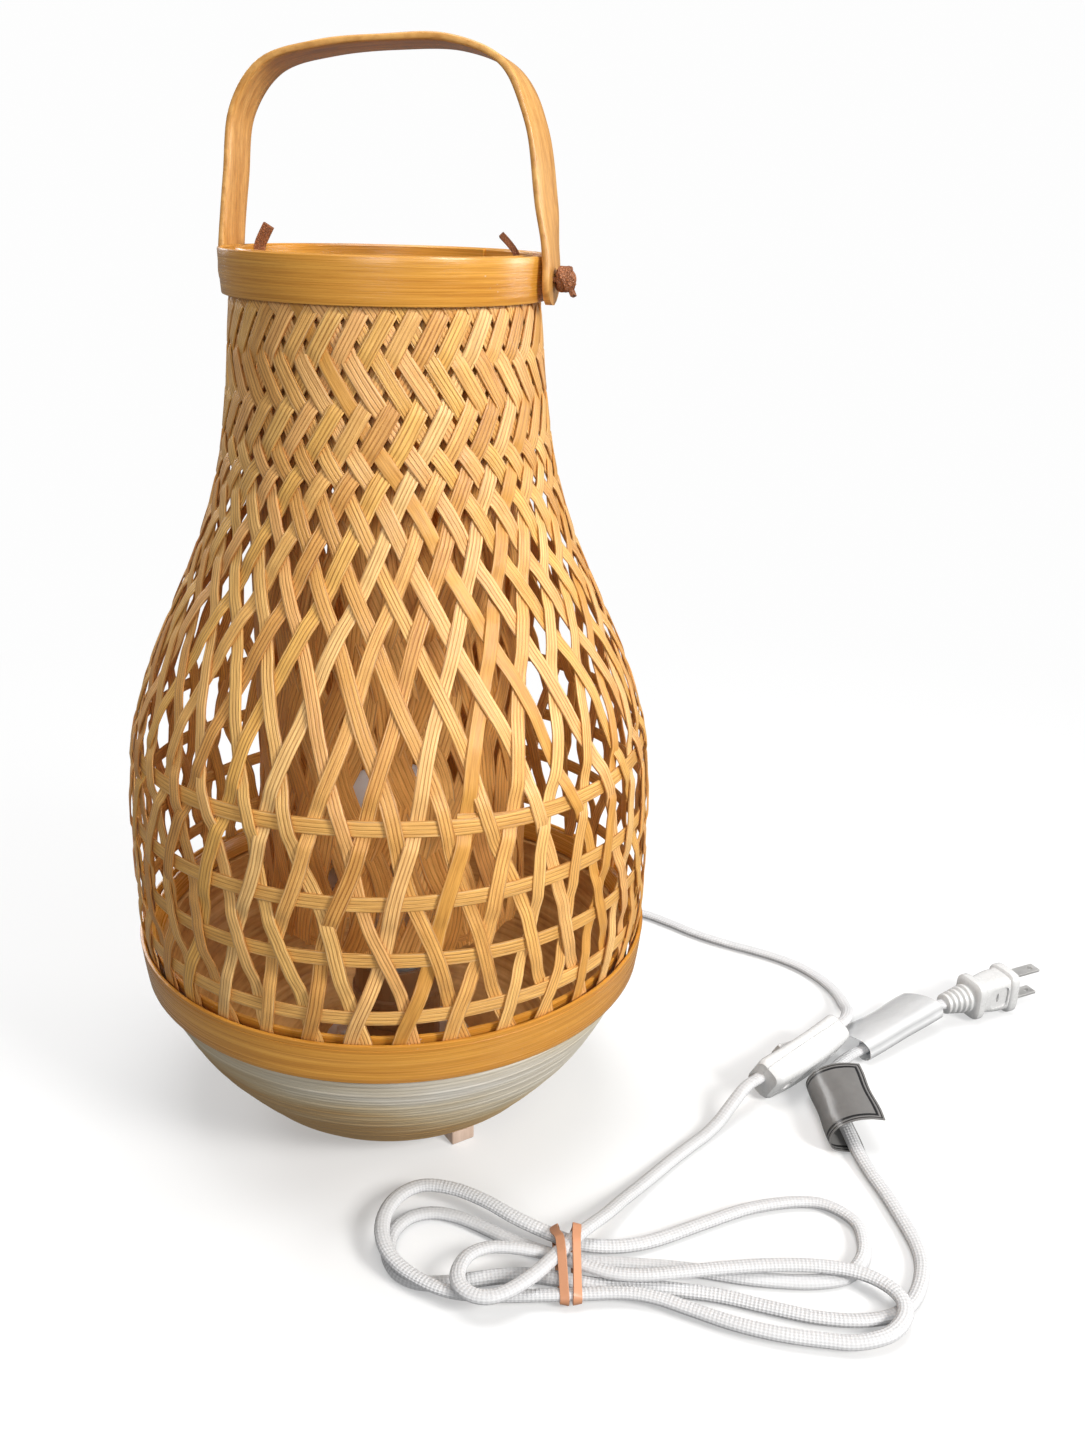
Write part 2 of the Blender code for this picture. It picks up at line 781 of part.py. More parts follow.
# The cord's route in three free stretches, each as points chosen by hand.
LEAD_ROUTE = (
    (0.0012, 0.1020, 0.0082),
    (0.0042, 0.1130, 0.0043),
    (0.0100, 0.1265, 0.0031),
    (0.0195, 0.1410, 0.0030),
    (0.0330, 0.1550, 0.0030),
    (0.0500, 0.1650, 0.0030),
    (0.0670, 0.1695, 0.0030),
    (0.0825, 0.1695, 0.0030),
    (0.0975, 0.1640, 0.0030),
    (0.1138, 0.1566, 0.0030),
    (0.1300, 0.1516, 0.0030),
    (0.1454, 0.1483, 0.0030),
    (0.1600, 0.1443, 0.0030),
    (0.1724, 0.1384, 0.0030),
    (0.1835, 0.1293, 0.0030),
    (0.1915, 0.1180, 0.0034),
    (0.1958, 0.1050, 0.0050),
    (0.1976, 0.0930, 0.0088),
)
FEED_ROUTE = (
    (0.1522, 0.0060, 0.0076),
    (0.1482, -0.0020, 0.0042),
    (0.1438, -0.0105, 0.0031),
    (0.1390, -0.0190, 0.0030),
    (0.1335, -0.0290, 0.0030),
    (0.1282, -0.0400, 0.0031),
    (0.1228, -0.0525, 0.0038),
    (0.1184, -0.0640, 0.0056),
)
TAIL_ROUTE = (
    (0.2338, -0.0630, 0.0031),
    (0.2318, -0.0530, 0.0030),
    (0.2262, -0.0400, 0.0030),
    (0.2195, -0.0265, 0.0030),
    (0.2130, -0.0150, 0.0032),
    (0.2074, -0.0040, 0.0036),
    (0.2030, 0.0070, 0.0042),
    (0.1984, 0.0180, 0.0046),
    (0.1945, 0.0290, 0.0048),
    (0.1925, 0.0390, 0.0046),
    (0.1930, 0.0480, 0.0042),
    (0.1965, 0.0565, 0.0042),
    (0.2015, 0.0640, 0.0048),
    (0.2078, 0.0710, 0.0056),
    (0.2148, 0.0785, 0.0066),
    (0.2228, 0.0880, 0.0080),
)

PLUG_ALONG = Vector((cos(PLUG_HEADING), sin(PLUG_HEADING), 0))
PLUG_TIP = Vector((0.2874, 0.1484, PLUG_HEIGHT))
PLUG_FACE = PLUG_TIP - PLUG_ALONG * BLADE_LENGTH
RELIEF_END = PLUG_FACE - PLUG_ALONG * PLUG_LENGTH
PLUG_FRAME = Matrix.Translation(PLUG_FACE) @ Matrix.Rotation(PLUG_HEADING, 4, "Z")


def routed(start, route, end):
    """A cord's line between two ends, each given as its place and the way the cord leaves it."""
    straight = 0.0100
    first = [start[0] + start[1] * reach for reach in (GAP, straight)]
    last = [end[0] + end[1] * reach for reach in (straight, GAP)]
    return evenly(smooth_run([*first, *route, *last], 6), 0.0090)


HANK_IN = Vector((0.1146, -0.0757, 0.0080))
HANK_IN_WAY = Vector((0.30, 0.95, -0.1)).normalized()
HANK_OUT = Vector((0.2304, -0.0805, 0.0052))
HANK_OUT_WAY = Vector((0.34, 0.94, -0.1)).normalized()


def free_cord():
    gland_end = (GLAND_FACE + GLAND_OUT * GLAND_STUB, GLAND_OUT)
    switch_in = (SWITCH_MIDDLE + SWITCH_ALONG * SWITCH_HALF, SWITCH_ALONG)
    switch_out = (SWITCH_MIDDLE - SWITCH_ALONG * SWITCH_HALF, -SWITCH_ALONG)
    plug_end = (RELIEF_END, -PLUG_ALONG)
    tube("cord_lead", routed(gland_end, LEAD_ROUTE, switch_in), CORD_RADIUS, "cord_textile")
    tube("cord_feed", routed(switch_out, FEED_ROUTE, (HANK_IN, HANK_IN_WAY)), CORD_RADIUS, "cord_textile")
    tube("cord_tail", routed((HANK_OUT, HANK_OUT_WAY), TAIL_ROUTE, plug_end), CORD_RADIUS, "cord_textile")


HANK_LOW = 0.0008
HANK_HIGH = 0.0140
HANK_RIGHT_HIGH = 0.0092
HANK_STEP_X = 0.1200
HANK_STEP_LENGTH = 0.0400
HANK_EDGE = 0.0026
# The hank's outline seen from above: a left lobe, the tied waist and a longer right lobe.
HANK_OUTLINE = (
    (0.0300, -0.1030),
    (0.0330, -0.0860),
    (0.0470, -0.0760),
    (0.0660, -0.0780),
    (0.0860, -0.0865),
    (0.1050, -0.0880),
    (0.1250, -0.0800),
    (0.1460, -0.0640),
    (0.1680, -0.0460),
    (0.1900, -0.0385),
    (0.2080, -0.0460),
    (0.2165, -0.0660),
    (0.2285, -0.0850),
    (0.2315, -0.0970),
    (0.2230, -0.1090),
    (0.2050, -0.1170),
    (0.1800, -0.1190),
    (0.1500, -0.1185),
    (0.1250, -0.1180),
    (0.1050, -0.1190),
    (0.0880, -0.1270),
    (0.0680, -0.1320),
    (0.0500, -0.1290),
    (0.0360, -0.1190),
)
WAIST_X = 0.1085
WAIST_HALF = 0.0062


def hank_top(x):
    """The bundle is higher at its left lobe and waist than at its right lobe."""
    share = min(1, max(0, (x - HANK_STEP_X) / HANK_STEP_LENGTH))
    return HANK_HIGH + (HANK_RIGHT_HIGH - HANK_HIGH) * share


def hank():
    """The folded bundle's outer shape, with rounded top and bottom edges."""
    loop = [Vector((x, y, 0)) for x, y in HANK_OUTLINE]
    loop = smooth_run([loop[-1], *loop, loop[0], loop[1]], 2)[2:-3]
    sections = []
    for inset, share in ((1, 0), (0, 0.25), (0, 0.72), (1, 1)):
        ring = []
        for place, point in enumerate(loop):
            along = loop[(place + 1) % len(loop)] - loop[place - 1]
            inward = Vector((along.y, -along.x, 0)).normalized()
            height = HANK_LOW + (hank_top(point.x) - HANK_LOW) * share
            ring.append(point + inward * HANK_EDGE * inset + UP * height)
        sections.append(ring)
    return lofted("cord_hank", sections, "cord_textile")


def rubber_band():
    """A flat band round the hank's waist, thinner where it lies on the floor."""
    low_y, high_y = -0.1208, -0.0846
    thick = 0.0012
    clear = 0.0004
    floor_gap = 0.0001
    outer = (
        (low_y - clear - thick, floor_gap),
        (high_y + clear + thick, floor_gap),
        (high_y + clear + thick, HANK_HIGH + clear + thick),
        (low_y - clear - thick, HANK_HIGH + clear + thick),
    )
    inner = (
        (low_y - clear, HANK_LOW - GAP),
        (high_y + clear, HANK_LOW - GAP),
        (high_y + clear, HANK_HIGH + clear),
        (low_y - clear, HANK_HIGH + clear),
    )
    builder = bmesh.new()
    ends = []
    for x in (WAIST_X - WAIST_HALF, WAIST_X + WAIST_HALF):
        ends.append([[builder.verts.new((x, y, z)) for y, z in corners] for corners in (outer, inner)])
    (near_outer, near_inner), (far_outer, far_inner) = ends
    for step in range(4):
        after = (step + 1) % 4
        builder.faces.new((near_outer[step], near_outer[after], far_outer[after], far_outer[step]))
        builder.faces.new((near_inner[step], far_inner[step], far_inner[after], near_inner[after]))
        builder.faces.new((near_outer[step], near_inner[step], near_inner[after], near_outer[after]))
        builder.faces.new((far_outer[step], far_outer[after], far_inner[after], far_inner[step]))
    made("rubber_band", builder, "rubber_tan")


def plug():
    """Strain relief, collar and body in a row, then the two flat blades one above the other."""
    relief = []
    ribs = 5
    length = 0.0142
    start = -PLUG_LENGTH
    for rib in range(ribs):
        low = start + length * rib / ribs
        radius = 0.0050 + 0.0026 * rib / ribs
        relief.append((radius, low))
        relief.append((radius + 0.0003, low + length / ribs * 0.55))
        relief.append((radius - 0.0007, low + length / ribs * 0.62))
        relief.append((radius - 0.0007, low + length / ribs * 0.94))
    turn = Matrix.Rotation(pi / 2, 4, "Y")
    outline = [(0, start), *relief, (0.0072, start + length), (0, start + length)]
    turned("plug_relief", outline, "white_plastic", 16, PLUG_FRAME @ turn)
    collar = start + length + GAP
    # (place along the plug, half width, half height)
    stations = (
        (collar, 0.0078, 0.0088),
        (collar + 0.0012, 0.0088, 0.0100),
        (collar + 0.0046, 0.0088, 0.0100),
        (collar + 0.0066, 0.0070, 0.0080),
        (collar + 0.0090, 0.0070, 0.0080),
        (collar + 0.0130, 0.0076, 0.0088),
        (-0.0052, 0.0078, 0.0094),
        (-0.0045, 0.0090, 0.0110),
        (-0.0008, 0.0090, 0.0110),
        (0.0000, 0.0084, 0.0104),
    )
    sections = []
    for x, half_width, half_height in stations:
        ring = rounded(half_width, half_height, 4.0, 16)
        sections.append([PLUG_FRAME @ Vector((x, y, z)) for y, z in ring])
    lofted("plug_body", sections, "white_plastic")
    for number, side in enumerate((1, -1), 1):
        place = PLUG_FRAME @ Matrix.Translation((BLADE_LENGTH / 2 + GAP / 2, 0, side * BLADE_SPACING / 2))
        size = (BLADE_LENGTH - GAP, BLADE_WIDTH, BLADE_THICK)
        blade = block(f"plug_blade_{number}", size, place, "steel", bevel=0.0003)
        middle = PLUG_FRAME @ Vector((BLADE_LENGTH - 0.0040, 0, side * BLADE_SPACING / 2))
        hole = cutter(f"blade_hole_{number}", 0.0015, middle - UP * 0.003, middle + UP * 0.003)
        drilled(blade, [hole])


def sheet(name, route, start, end, thick, finish):
    """A thin film: an outline in the plane across the line from start to end, carried along it."""
    start = Vector(start)
    end = Vector(end)
    along = (end - start).normalized()
    side = along.cross(UP).normalized()
    rise = side.cross(along)
    run = smooth_run([(x, 0, z) for x, z in route], 3)
    sections = []
    for place in (start, end):
        front = []
        back = []
        for step, point in enumerate(run):
            tangent = (run[min(step + 1, len(run) - 1)] - run[max(step - 1, 0)]).normalized()
            normal = Vector((-tangent.z, 0, tangent.x))
            front.append(point + normal * thick / 2)
            back.append(point - normal * thick / 2)
        outline = front + back[::-1]
        sections.append([place + side * point.x + rise * point.z for point in outline])
    return lofted(name, sections, finish, 60)


def labels():
    """Two blank film labels folded over the cord: a wide curled one and a narrow one by the plug."""
    curl = (
        (0.0128, 0.0114),
        (0.0060, 0.0122),
        (-0.0010, 0.0112),
        (-0.0072, 0.0078),
        (-0.0100, 0.0022),
        (-0.0080, -0.0028),
        (-0.0020, -0.0047),
        (0.0060, -0.0048),
    )
    sheet("rating_label", curl, (0.2048, -0.0020, 0.0056), (0.1922, 0.0350, 0.0058), 0.0005, "label_film")
    fold = (
        (-0.0150, 0.0026),
        (-0.0070, 0.0044),
        (0.0000, 0.0050),
        (0.0046, 0.0028),
        (0.0048, -0.0016),
        (0.0008, -0.0046),
        (-0.0032, -0.0036),
    )
    sheet("film_label", fold, (0.2085, 0.0716, 0.0058), (0.2310, 0.0984, 0.0092), 0.0004, "label_film")


def main():
    clear_scene()
    bowl()
    feet()
    weave()
    hoops()
    bands()
    sleeve()
    handle()
    tie(1, "right")
    tie(-1, "left")
    holder()
    bulb()
    gland()
    switch()
    free_cord()
    hank()
    rubber_band()
    plug()
    labels()


main()
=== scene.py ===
"""Looks of the bamboo lantern table lamp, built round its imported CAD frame.

Metres, +Z up, in the CAD's own frame: the lamp's axis is Z and X runs along the handle's pivots.
"""

from math import atan2, cos, pi, radians, sin

import bmesh
import bpy
import numpy as np
from mathutils import Matrix, Vector


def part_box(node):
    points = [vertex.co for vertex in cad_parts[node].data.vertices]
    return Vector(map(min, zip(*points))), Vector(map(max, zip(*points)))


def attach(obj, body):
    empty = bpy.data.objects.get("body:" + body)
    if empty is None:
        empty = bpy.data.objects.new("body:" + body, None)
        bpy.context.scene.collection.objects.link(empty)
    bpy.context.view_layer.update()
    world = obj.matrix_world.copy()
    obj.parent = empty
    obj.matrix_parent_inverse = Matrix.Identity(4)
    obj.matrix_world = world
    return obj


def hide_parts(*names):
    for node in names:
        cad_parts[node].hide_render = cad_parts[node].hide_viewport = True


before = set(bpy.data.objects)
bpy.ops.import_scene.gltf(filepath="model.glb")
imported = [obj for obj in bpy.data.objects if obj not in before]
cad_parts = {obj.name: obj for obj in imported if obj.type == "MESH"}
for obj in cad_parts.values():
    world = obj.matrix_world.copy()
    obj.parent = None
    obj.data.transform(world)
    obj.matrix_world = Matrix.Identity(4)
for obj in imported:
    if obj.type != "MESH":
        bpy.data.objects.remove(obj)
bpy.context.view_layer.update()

UP = Vector((0, 0, 1))
rng = np.random.default_rng(11)

# ---------------- driving dimensions, as in the CAD

BAND_THICK = 0.0019
RIM_TOP = 0.3553
RIM_BOTTOM = 0.3396
RIM_RADIUS_TOP = 0.0600
RIM_RADIUS_BOTTOM = 0.0593
LOWER_TOP = 0.0860
LOWER_BOTTOM = 0.0683
LOWER_RADIUS_TOP = 0.1078
LOWER_RADIUS_BOTTOM = 0.1058

NECK_RADIUS = 0.0570
WEAVE_THICK = 0.0015
WEAVE_OUTLINE = (
    (0.0600, 0.1026), (0.0690, 0.1036), (0.0855, 0.1055), (0.0940, 0.1066), (0.1150, 0.1070),
    (0.1400, 0.1069), (0.1680, 0.1047), (0.1950, 0.0976), (0.2220, 0.0859), (0.2500, 0.0734),
    (0.2780, 0.0645), (0.3060, 0.0600), (0.3250, 0.0582), (0.3390, 0.0570), (0.3530, 0.0570),
    (0.3600, 0.0570),
)
# (top, where its ends lap, how far the first end rides up) of each hoop
HOOPS = (
    (0.1740, radians(12), 0.0016), (0.1470, radians(20), -0.0006), (0.1236, radians(150), 0.0),
    (0.1001, radians(31), 0.0012),
)
HOOP_WIDTH = 0.0058
SLEEVE_FOOT = 0.0920
SLEEVE_TOP = 0.3400
SLEEVE_RADIUS_FOOT = 0.0549
SLEEVE_RADIUS_TOP = 0.0524

BOWL_OUTLINE = (
    (0.0072, 0.0570), (0.0085, 0.0630), (0.0125, 0.0680), (0.0180, 0.0730), (0.0260, 0.0798),
    (0.0380, 0.0889), (0.0520, 0.0965), (0.0600, 0.1000), (0.0680, 0.1016), (0.0768, 0.1019),
)
BOWL_WALL = 0.0046
BOWL_FLOOR = 0.0120
FOOT_REACH = 0.0612
FOOT_LENGTH = 0.0180
FOOT_WIDTH = 0.0106

PIVOT_HEIGHT = 0.3475
HANDLE_WIDTH = 0.0176
HANDLE_THICK = 0.0024
HANDLE_LEAN = radians(5)
HANDLE_OUTLINE = (
    (0.0636, 0.3387), (0.0634, 0.3528), (0.0604, 0.3743), (0.0558, 0.3982), (0.0452, 0.4170),
    (0.0248, 0.4250), (0.0000, 0.4252), (-0.0242, 0.4232), (-0.0457, 0.4173), (-0.0578, 0.4015),
    (-0.0607, 0.3792), (-0.0629, 0.3574), (-0.0636, 0.3387),
)
KNOT_OUT = 0.0676
KNOT_IN = 0.0500

CORD_HALF_WIDTH = 0.0030
CORD_HALF_HEIGHT = 0.0021
CORD_STEP = 0.0020

# the gland sits square on the bowl's slope between two points of its outline
GLAND_BELOW, GLAND_PLACE = BOWL_OUTLINE[3:5]
GLAND_SLOPE = atan2(GLAND_PLACE[1] - GLAND_BELOW[1], GLAND_PLACE[0] - GLAND_BELOW[0])
GLAND_OUT = Vector((0, cos(GLAND_SLOPE), -sin(GLAND_SLOPE)))
GLAND_FACE = Vector((0, GLAND_PLACE[1], GLAND_PLACE[0]))
GLAND_STUB = 0.0085

SWITCH_ROLL = radians(28)
SWITCH_LENGTH = 0.0560
SWITCH_HALF = SWITCH_LENGTH / 2
SWITCH_MIDDLE = Vector((0.1768, 0.0479, 0.0118))
SWITCH_ALONG = Vector((0.513, 0.858, 0)).normalized()
SWITCH_FLAT = UP.cross(SWITCH_ALONG)
SWITCH_OUT = SWITCH_FLAT * cos(SWITCH_ROLL) + UP * sin(SWITCH_ROLL)
SWITCH_WIDE = SWITCH_OUT.cross(SWITCH_ALONG)

PLUG_HEADING = radians(40.5)
PLUG_LENGTH = 0.0408
BLADE_LENGTH = 0.0180
PLUG_ALONG = Vector((cos(PLUG_HEADING), sin(PLUG_HEADING), 0))
PLUG_FACE = Vector((0.2874, 0.1484, 0.0114)) - PLUG_ALONG * BLADE_LENGTH
RELIEF_END = PLUG_FACE - PLUG_ALONG * PLUG_LENGTH
PLUG_FRAME = Matrix.Translation(PLUG_FACE) @ Matrix.Rotation(PLUG_HEADING, 4, "Z")

# ---------------- camera


def placed(name, data):
    """A new object in the scene."""
    thing = bpy.data.objects.new(name, data)
    bpy.context.scene.collection.objects.link(thing)
    return thing


def make_camera():
    """The camera at the photograph's viewing angle: a little rolled, and right of the lamp."""
    forward = Vector((-0.2293, 0.9021, -0.3658)).normalized()
    level = Vector((0.9693, 0.2463, 0)).normalized()
    over = level.cross(forward)
    roll = radians(1.6)
    right = level * cos(roll) + over * sin(roll)
    up = over * cos(roll) - level * sin(roll)
    data = bpy.data.cameras.new("camera")
    data.lens = 33.17
    data.sensor_width = 36
    data.clip_start = 0.01
    data.clip_end = 30
    thing = placed("camera", data)
    place = Matrix((right, up, -forward)).transposed().to_4x4()
    place.translation = (0.1869, -0.4843, 0.3737)
    thing.matrix_world = place
    bpy.context.scene.camera = thing


make_camera()

# ---------------- curves and meshes


def array(points):
    return np.array([tuple(point) for point in points], float)


def unit(vectors):
    return vectors / np.linalg.norm(vectors, axis=-1, keepdims=True)


def tangents(line):
    return unit(np.gradient(line, axis=0))


def distances(line):
    """How far along the line each of its points is."""
    return np.concatenate([[0], np.cumsum(np.linalg.norm(np.diff(line, axis=0), axis=1))])


def crosswise(line):
    """The level and the rising direction across a line."""
    way = tangents(line)
    side = unit(np.cross(way, np.array(UP)))
    return side, np.cross(side, way)


def swept(line, side, rise, wide, high):
    """A row of points round each point of the line, this wide and high of it."""
    return line[:, None, :] + side[:, None, :] * wide[:, :, None] + rise[:, None, :] * high[:, :, None]


def polar(radius, turn, height):
    """Points about the Z axis."""
    return np.stack(np.broadcast_arrays(radius * np.cos(turn), radius * np.sin(turn), height), axis=1)


def spin(count):
    """Even turns round a full circle."""
    return np.linspace(0, 2 * pi, count, endpoint=False)


def moved(rows, matrix):
    return rows @ np.array(matrix.to_3x3()).T + np.array(matrix.translation)


def smooth_step(value):
    value = np.clip(value, 0, 1)
    return value * value * (3 - 2 * value)


def smooth_run(points, steps):
    """A Catmull-Rom curve through the points, with this many steps between each two."""
    points = [Vector(point) for point in points]
    ends = [2 * points[0] - points[1], *points, 2 * points[-1] - points[-2]]
    run = []
    for before, start, end, after in zip(ends, ends[1:], ends[2:], ends[3:]):
        for step in range(steps):
            t = step / steps
            bend = 2 * before - 5 * start + 4 * end - after
            twist = 3 * start - before - 3 * end + after
            run.append(0.5 * (2 * start + (end - before) * t + bend * t**2 + twist * t**3))
    run.append(points[-1])
    return run


def evenly(run, spacing):
    """The same line as an array of points at equal distances."""
    line = array(run)
    gone = distances(line)
    count = max(3, int(round(gone[-1] / spacing)) + 1)
    places = np.linspace(0, gone[-1], count)
    return np.stack([np.interp(places, gone, line[:, axis]) for axis in range(3)], axis=1)


def triple(first, second, third):
    """The summed triple products: six times the volume between the origin and the triangles."""
    return np.einsum("...i,...i", np.cross(first, second), third).sum()


class Shape:
    """Points, faces and each face corner's (across, along, strand number)."""

    def __init__(self):
        self.points = []
        self.faces = []
        self.corners = []
        self.count = 0

    def loft(self, rows, across=None, along=None, number=0.0, ring=False):
        """A closed surface through closed rows of points. A ring's last row joins its first, and any other
        surface gets a cap at each end."""
        rows = np.asarray(rows, float)
        high, wide = rows.shape[:2]
        across = np.linspace(0, 1, wide + 1) if across is None else np.asarray(across, float)
        along = np.arange(high + 1) * 0.001 if along is None else np.asarray(along, float)
        if len(across) == wide:
            across = np.append(across, across[-1])
        if len(along) == high:
            along = np.append(along, along[-1])
        ends = np.concatenate([rows, rows[:1]]) if ring else rows
        closing = np.concatenate([ends, ends[:, :1]], axis=1)
        a, b, c, d = closing[:-1, :-1], closing[:-1, 1:], closing[1:, 1:], closing[1:, :-1]
        volume = triple(a, b, c) + triple(a, c, d)
        if not ring:
            for cap, sign in ((rows[0], -1), (rows[-1], 1)):
                volume += sign * triple(cap, np.roll(cap, -1, axis=0), cap.mean(axis=0))
        flip = volume < 0
        row, column = np.divmod(np.arange((high if ring else high - 1) * wide), wide)
        after_row, after_column = (row + 1) % high, (column + 1) % wide
        lower, upper = row * wide, after_row * wide
        quads = np.stack(
            [lower + column, lower + after_column, upper + after_column, upper + column], axis=1
        )
        u = np.stack([across[column], across[column + 1], across[column + 1], across[column]], axis=1)
        v = np.stack([along[row], along[row], along[row + 1], along[row + 1]], axis=1)
        if flip:
            quads, u, v = quads[:, ::-1], u[:, ::-1], v[:, ::-1]
        self.faces += (quads + self.count).tolist()
        self.corners.append(np.stack([u.ravel(), v.ravel(), np.full(u.size, number)], axis=1))
        if not ring:
            first = list(range(wide))
            last = list(range((high - 1) * wide, high * wide))
            for cap, place, turned in ((first, along[0], not flip), (last, along[high - 1], flip)):
                cap_u = across[:wide]
                if turned:
                    cap, cap_u = cap[::-1], cap_u[::-1]
                self.faces.append([corner + self.count for corner in cap])
                self.corners.append(np.stack([cap_u, np.full(wide, place), np.full(wide, number)], axis=1))
        self.points.append(rows.reshape(-1, 3))
        self.count += high * wide
        return self

    def mesh(self, name):
        mesh = bpy.data.meshes.new(name)
        mesh.from_pydata(np.concatenate(self.points).tolist(), [], self.faces)
        return mesh


def piece(name, shape, look, *nodes, body="lamp", sharp=40):
    """A visible piece made from a Shape, with its look, its body and the CAD nodes it stands for."""
    mesh = shape.mesh(name)
    strand = mesh.attributes.new("strand", "FLOAT_VECTOR", "CORNER")
    strand.data.foreach_set("vector", np.concatenate(shape.corners).astype(np.float32).ravel())
    return declared(name, mesh, look, *nodes, body=body, sharp=sharp)


def declared(name, mesh, look, *nodes, body="lamp", sharp=40):
    mesh.shade_smooth()
    mesh.set_sharp_from_angle(angle=radians(sharp))
    mesh.materials.append(LOOKS[look])
    thing = placed(name, mesh)
    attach(thing, body)
    if nodes:
        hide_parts(*nodes)
    return thing


# (across, through) of a flat strip's section, with eased edges
STRIP_SECTION = (
    (-1.00, -0.28), (-1.00, 0.28), (-0.93, 0.50), (-0.50, 0.50), (0.00, 0.50), (0.50, 0.50), (0.93, 0.50),
    (1.00, 0.28), (1.00, -0.28), (0.93, -0.50), (0.00, -0.50), (-0.93, -0.50),
)


def ribbon(
    shape, line, normals, half_width, thick, number=0.0, start=0.0, ring=False, section=STRIP_SECTION
):
    """A flat strip along the line, its face square to the normals."""
    line = np.asarray(line, float)
    if ring:
        way = unit(np.roll(line, -1, axis=0) - np.roll(line, 1, axis=0))
    else:
        way = tangents(line)
    face = np.asarray(normals, float)
    face = unit(face - (face * way).sum(axis=1, keepdims=True) * way)
    side = np.cross(way, face)
    half_width = np.broadcast_to(half_width, len(line))
    thick = np.broadcast_to(thick, len(line))
    rows = np.stack(
        [line + side * (half_width * u)[:, None] + face * (thick * w)[:, None] for u, w in section], axis=1
    )
    across = [u for u, w in section]
    along = start + distances(line)
    if ring:
        along = np.append(along, along[-1] + np.linalg.norm(line[0] - line[-1]))
    return shape.loft(rows, across + across[:1], along, number, ring=ring)


LAP_RISE = 0.24  # the turn over which a lapping end climbs


def lathe(shape, profile, segments, start=0.0, sweep=2 * pi, lap=0.0):
    """A closed (radius, height) profile turned about Z. Past a full turn, the end rides outside by lap."""
    full = abs(sweep - 2 * pi) < 1e-6
    turns = start + np.linspace(0, sweep, segments + (0 if full else 1), endpoint=not full)
    profile = np.array(profile, float)
    out = np.zeros(len(turns))
    if lap:
        out = lap * smooth_step((turns - start - (2 * pi - LAP_RISE / 2)) / LAP_RISE)
    radius = profile[None, :, 0] + out[:, None] * (profile[None, :, 0] > 1e-6)
    flat = radius * np.cos(turns)[:, None], radius * np.sin(turns)[:, None]
    rows = np.stack([*flat, np.broadcast_to(profile[None, :, 1], radius.shape)], axis=2)
    around = np.concatenate([turns, [start + sweep]]) * profile[:, 0].max()
    edge = distances(np.concatenate([profile, profile[:1]]))
    return shape.loft(rows, edge, around, ring=full)


def disc(shape, profile, segments, matrix=Matrix()):
    """A solid of revolution whose open (radius, height) profile starts and ends near the axis."""
    rows = np.array([polar(max(radius, 1e-5), spin(segments), height) for radius, height in profile])
    return shape.loft(moved(rows, matrix), None, distances(np.array(profile, float)))


def rounded(half_width, half_height, power, count):
    """Points of a rounded rectangle, as a superellipse."""
    turns = 2 * pi * (np.arange(count) + 0.5) / count
    x = half_width * np.abs(np.cos(turns)) ** (2 / power) * np.sign(np.cos(turns))
    y = half_height * np.abs(np.sin(turns)) ** (2 / power) * np.sign(np.sin(turns))
    return np.stack([x, y], axis=1)


# ---------------- materials


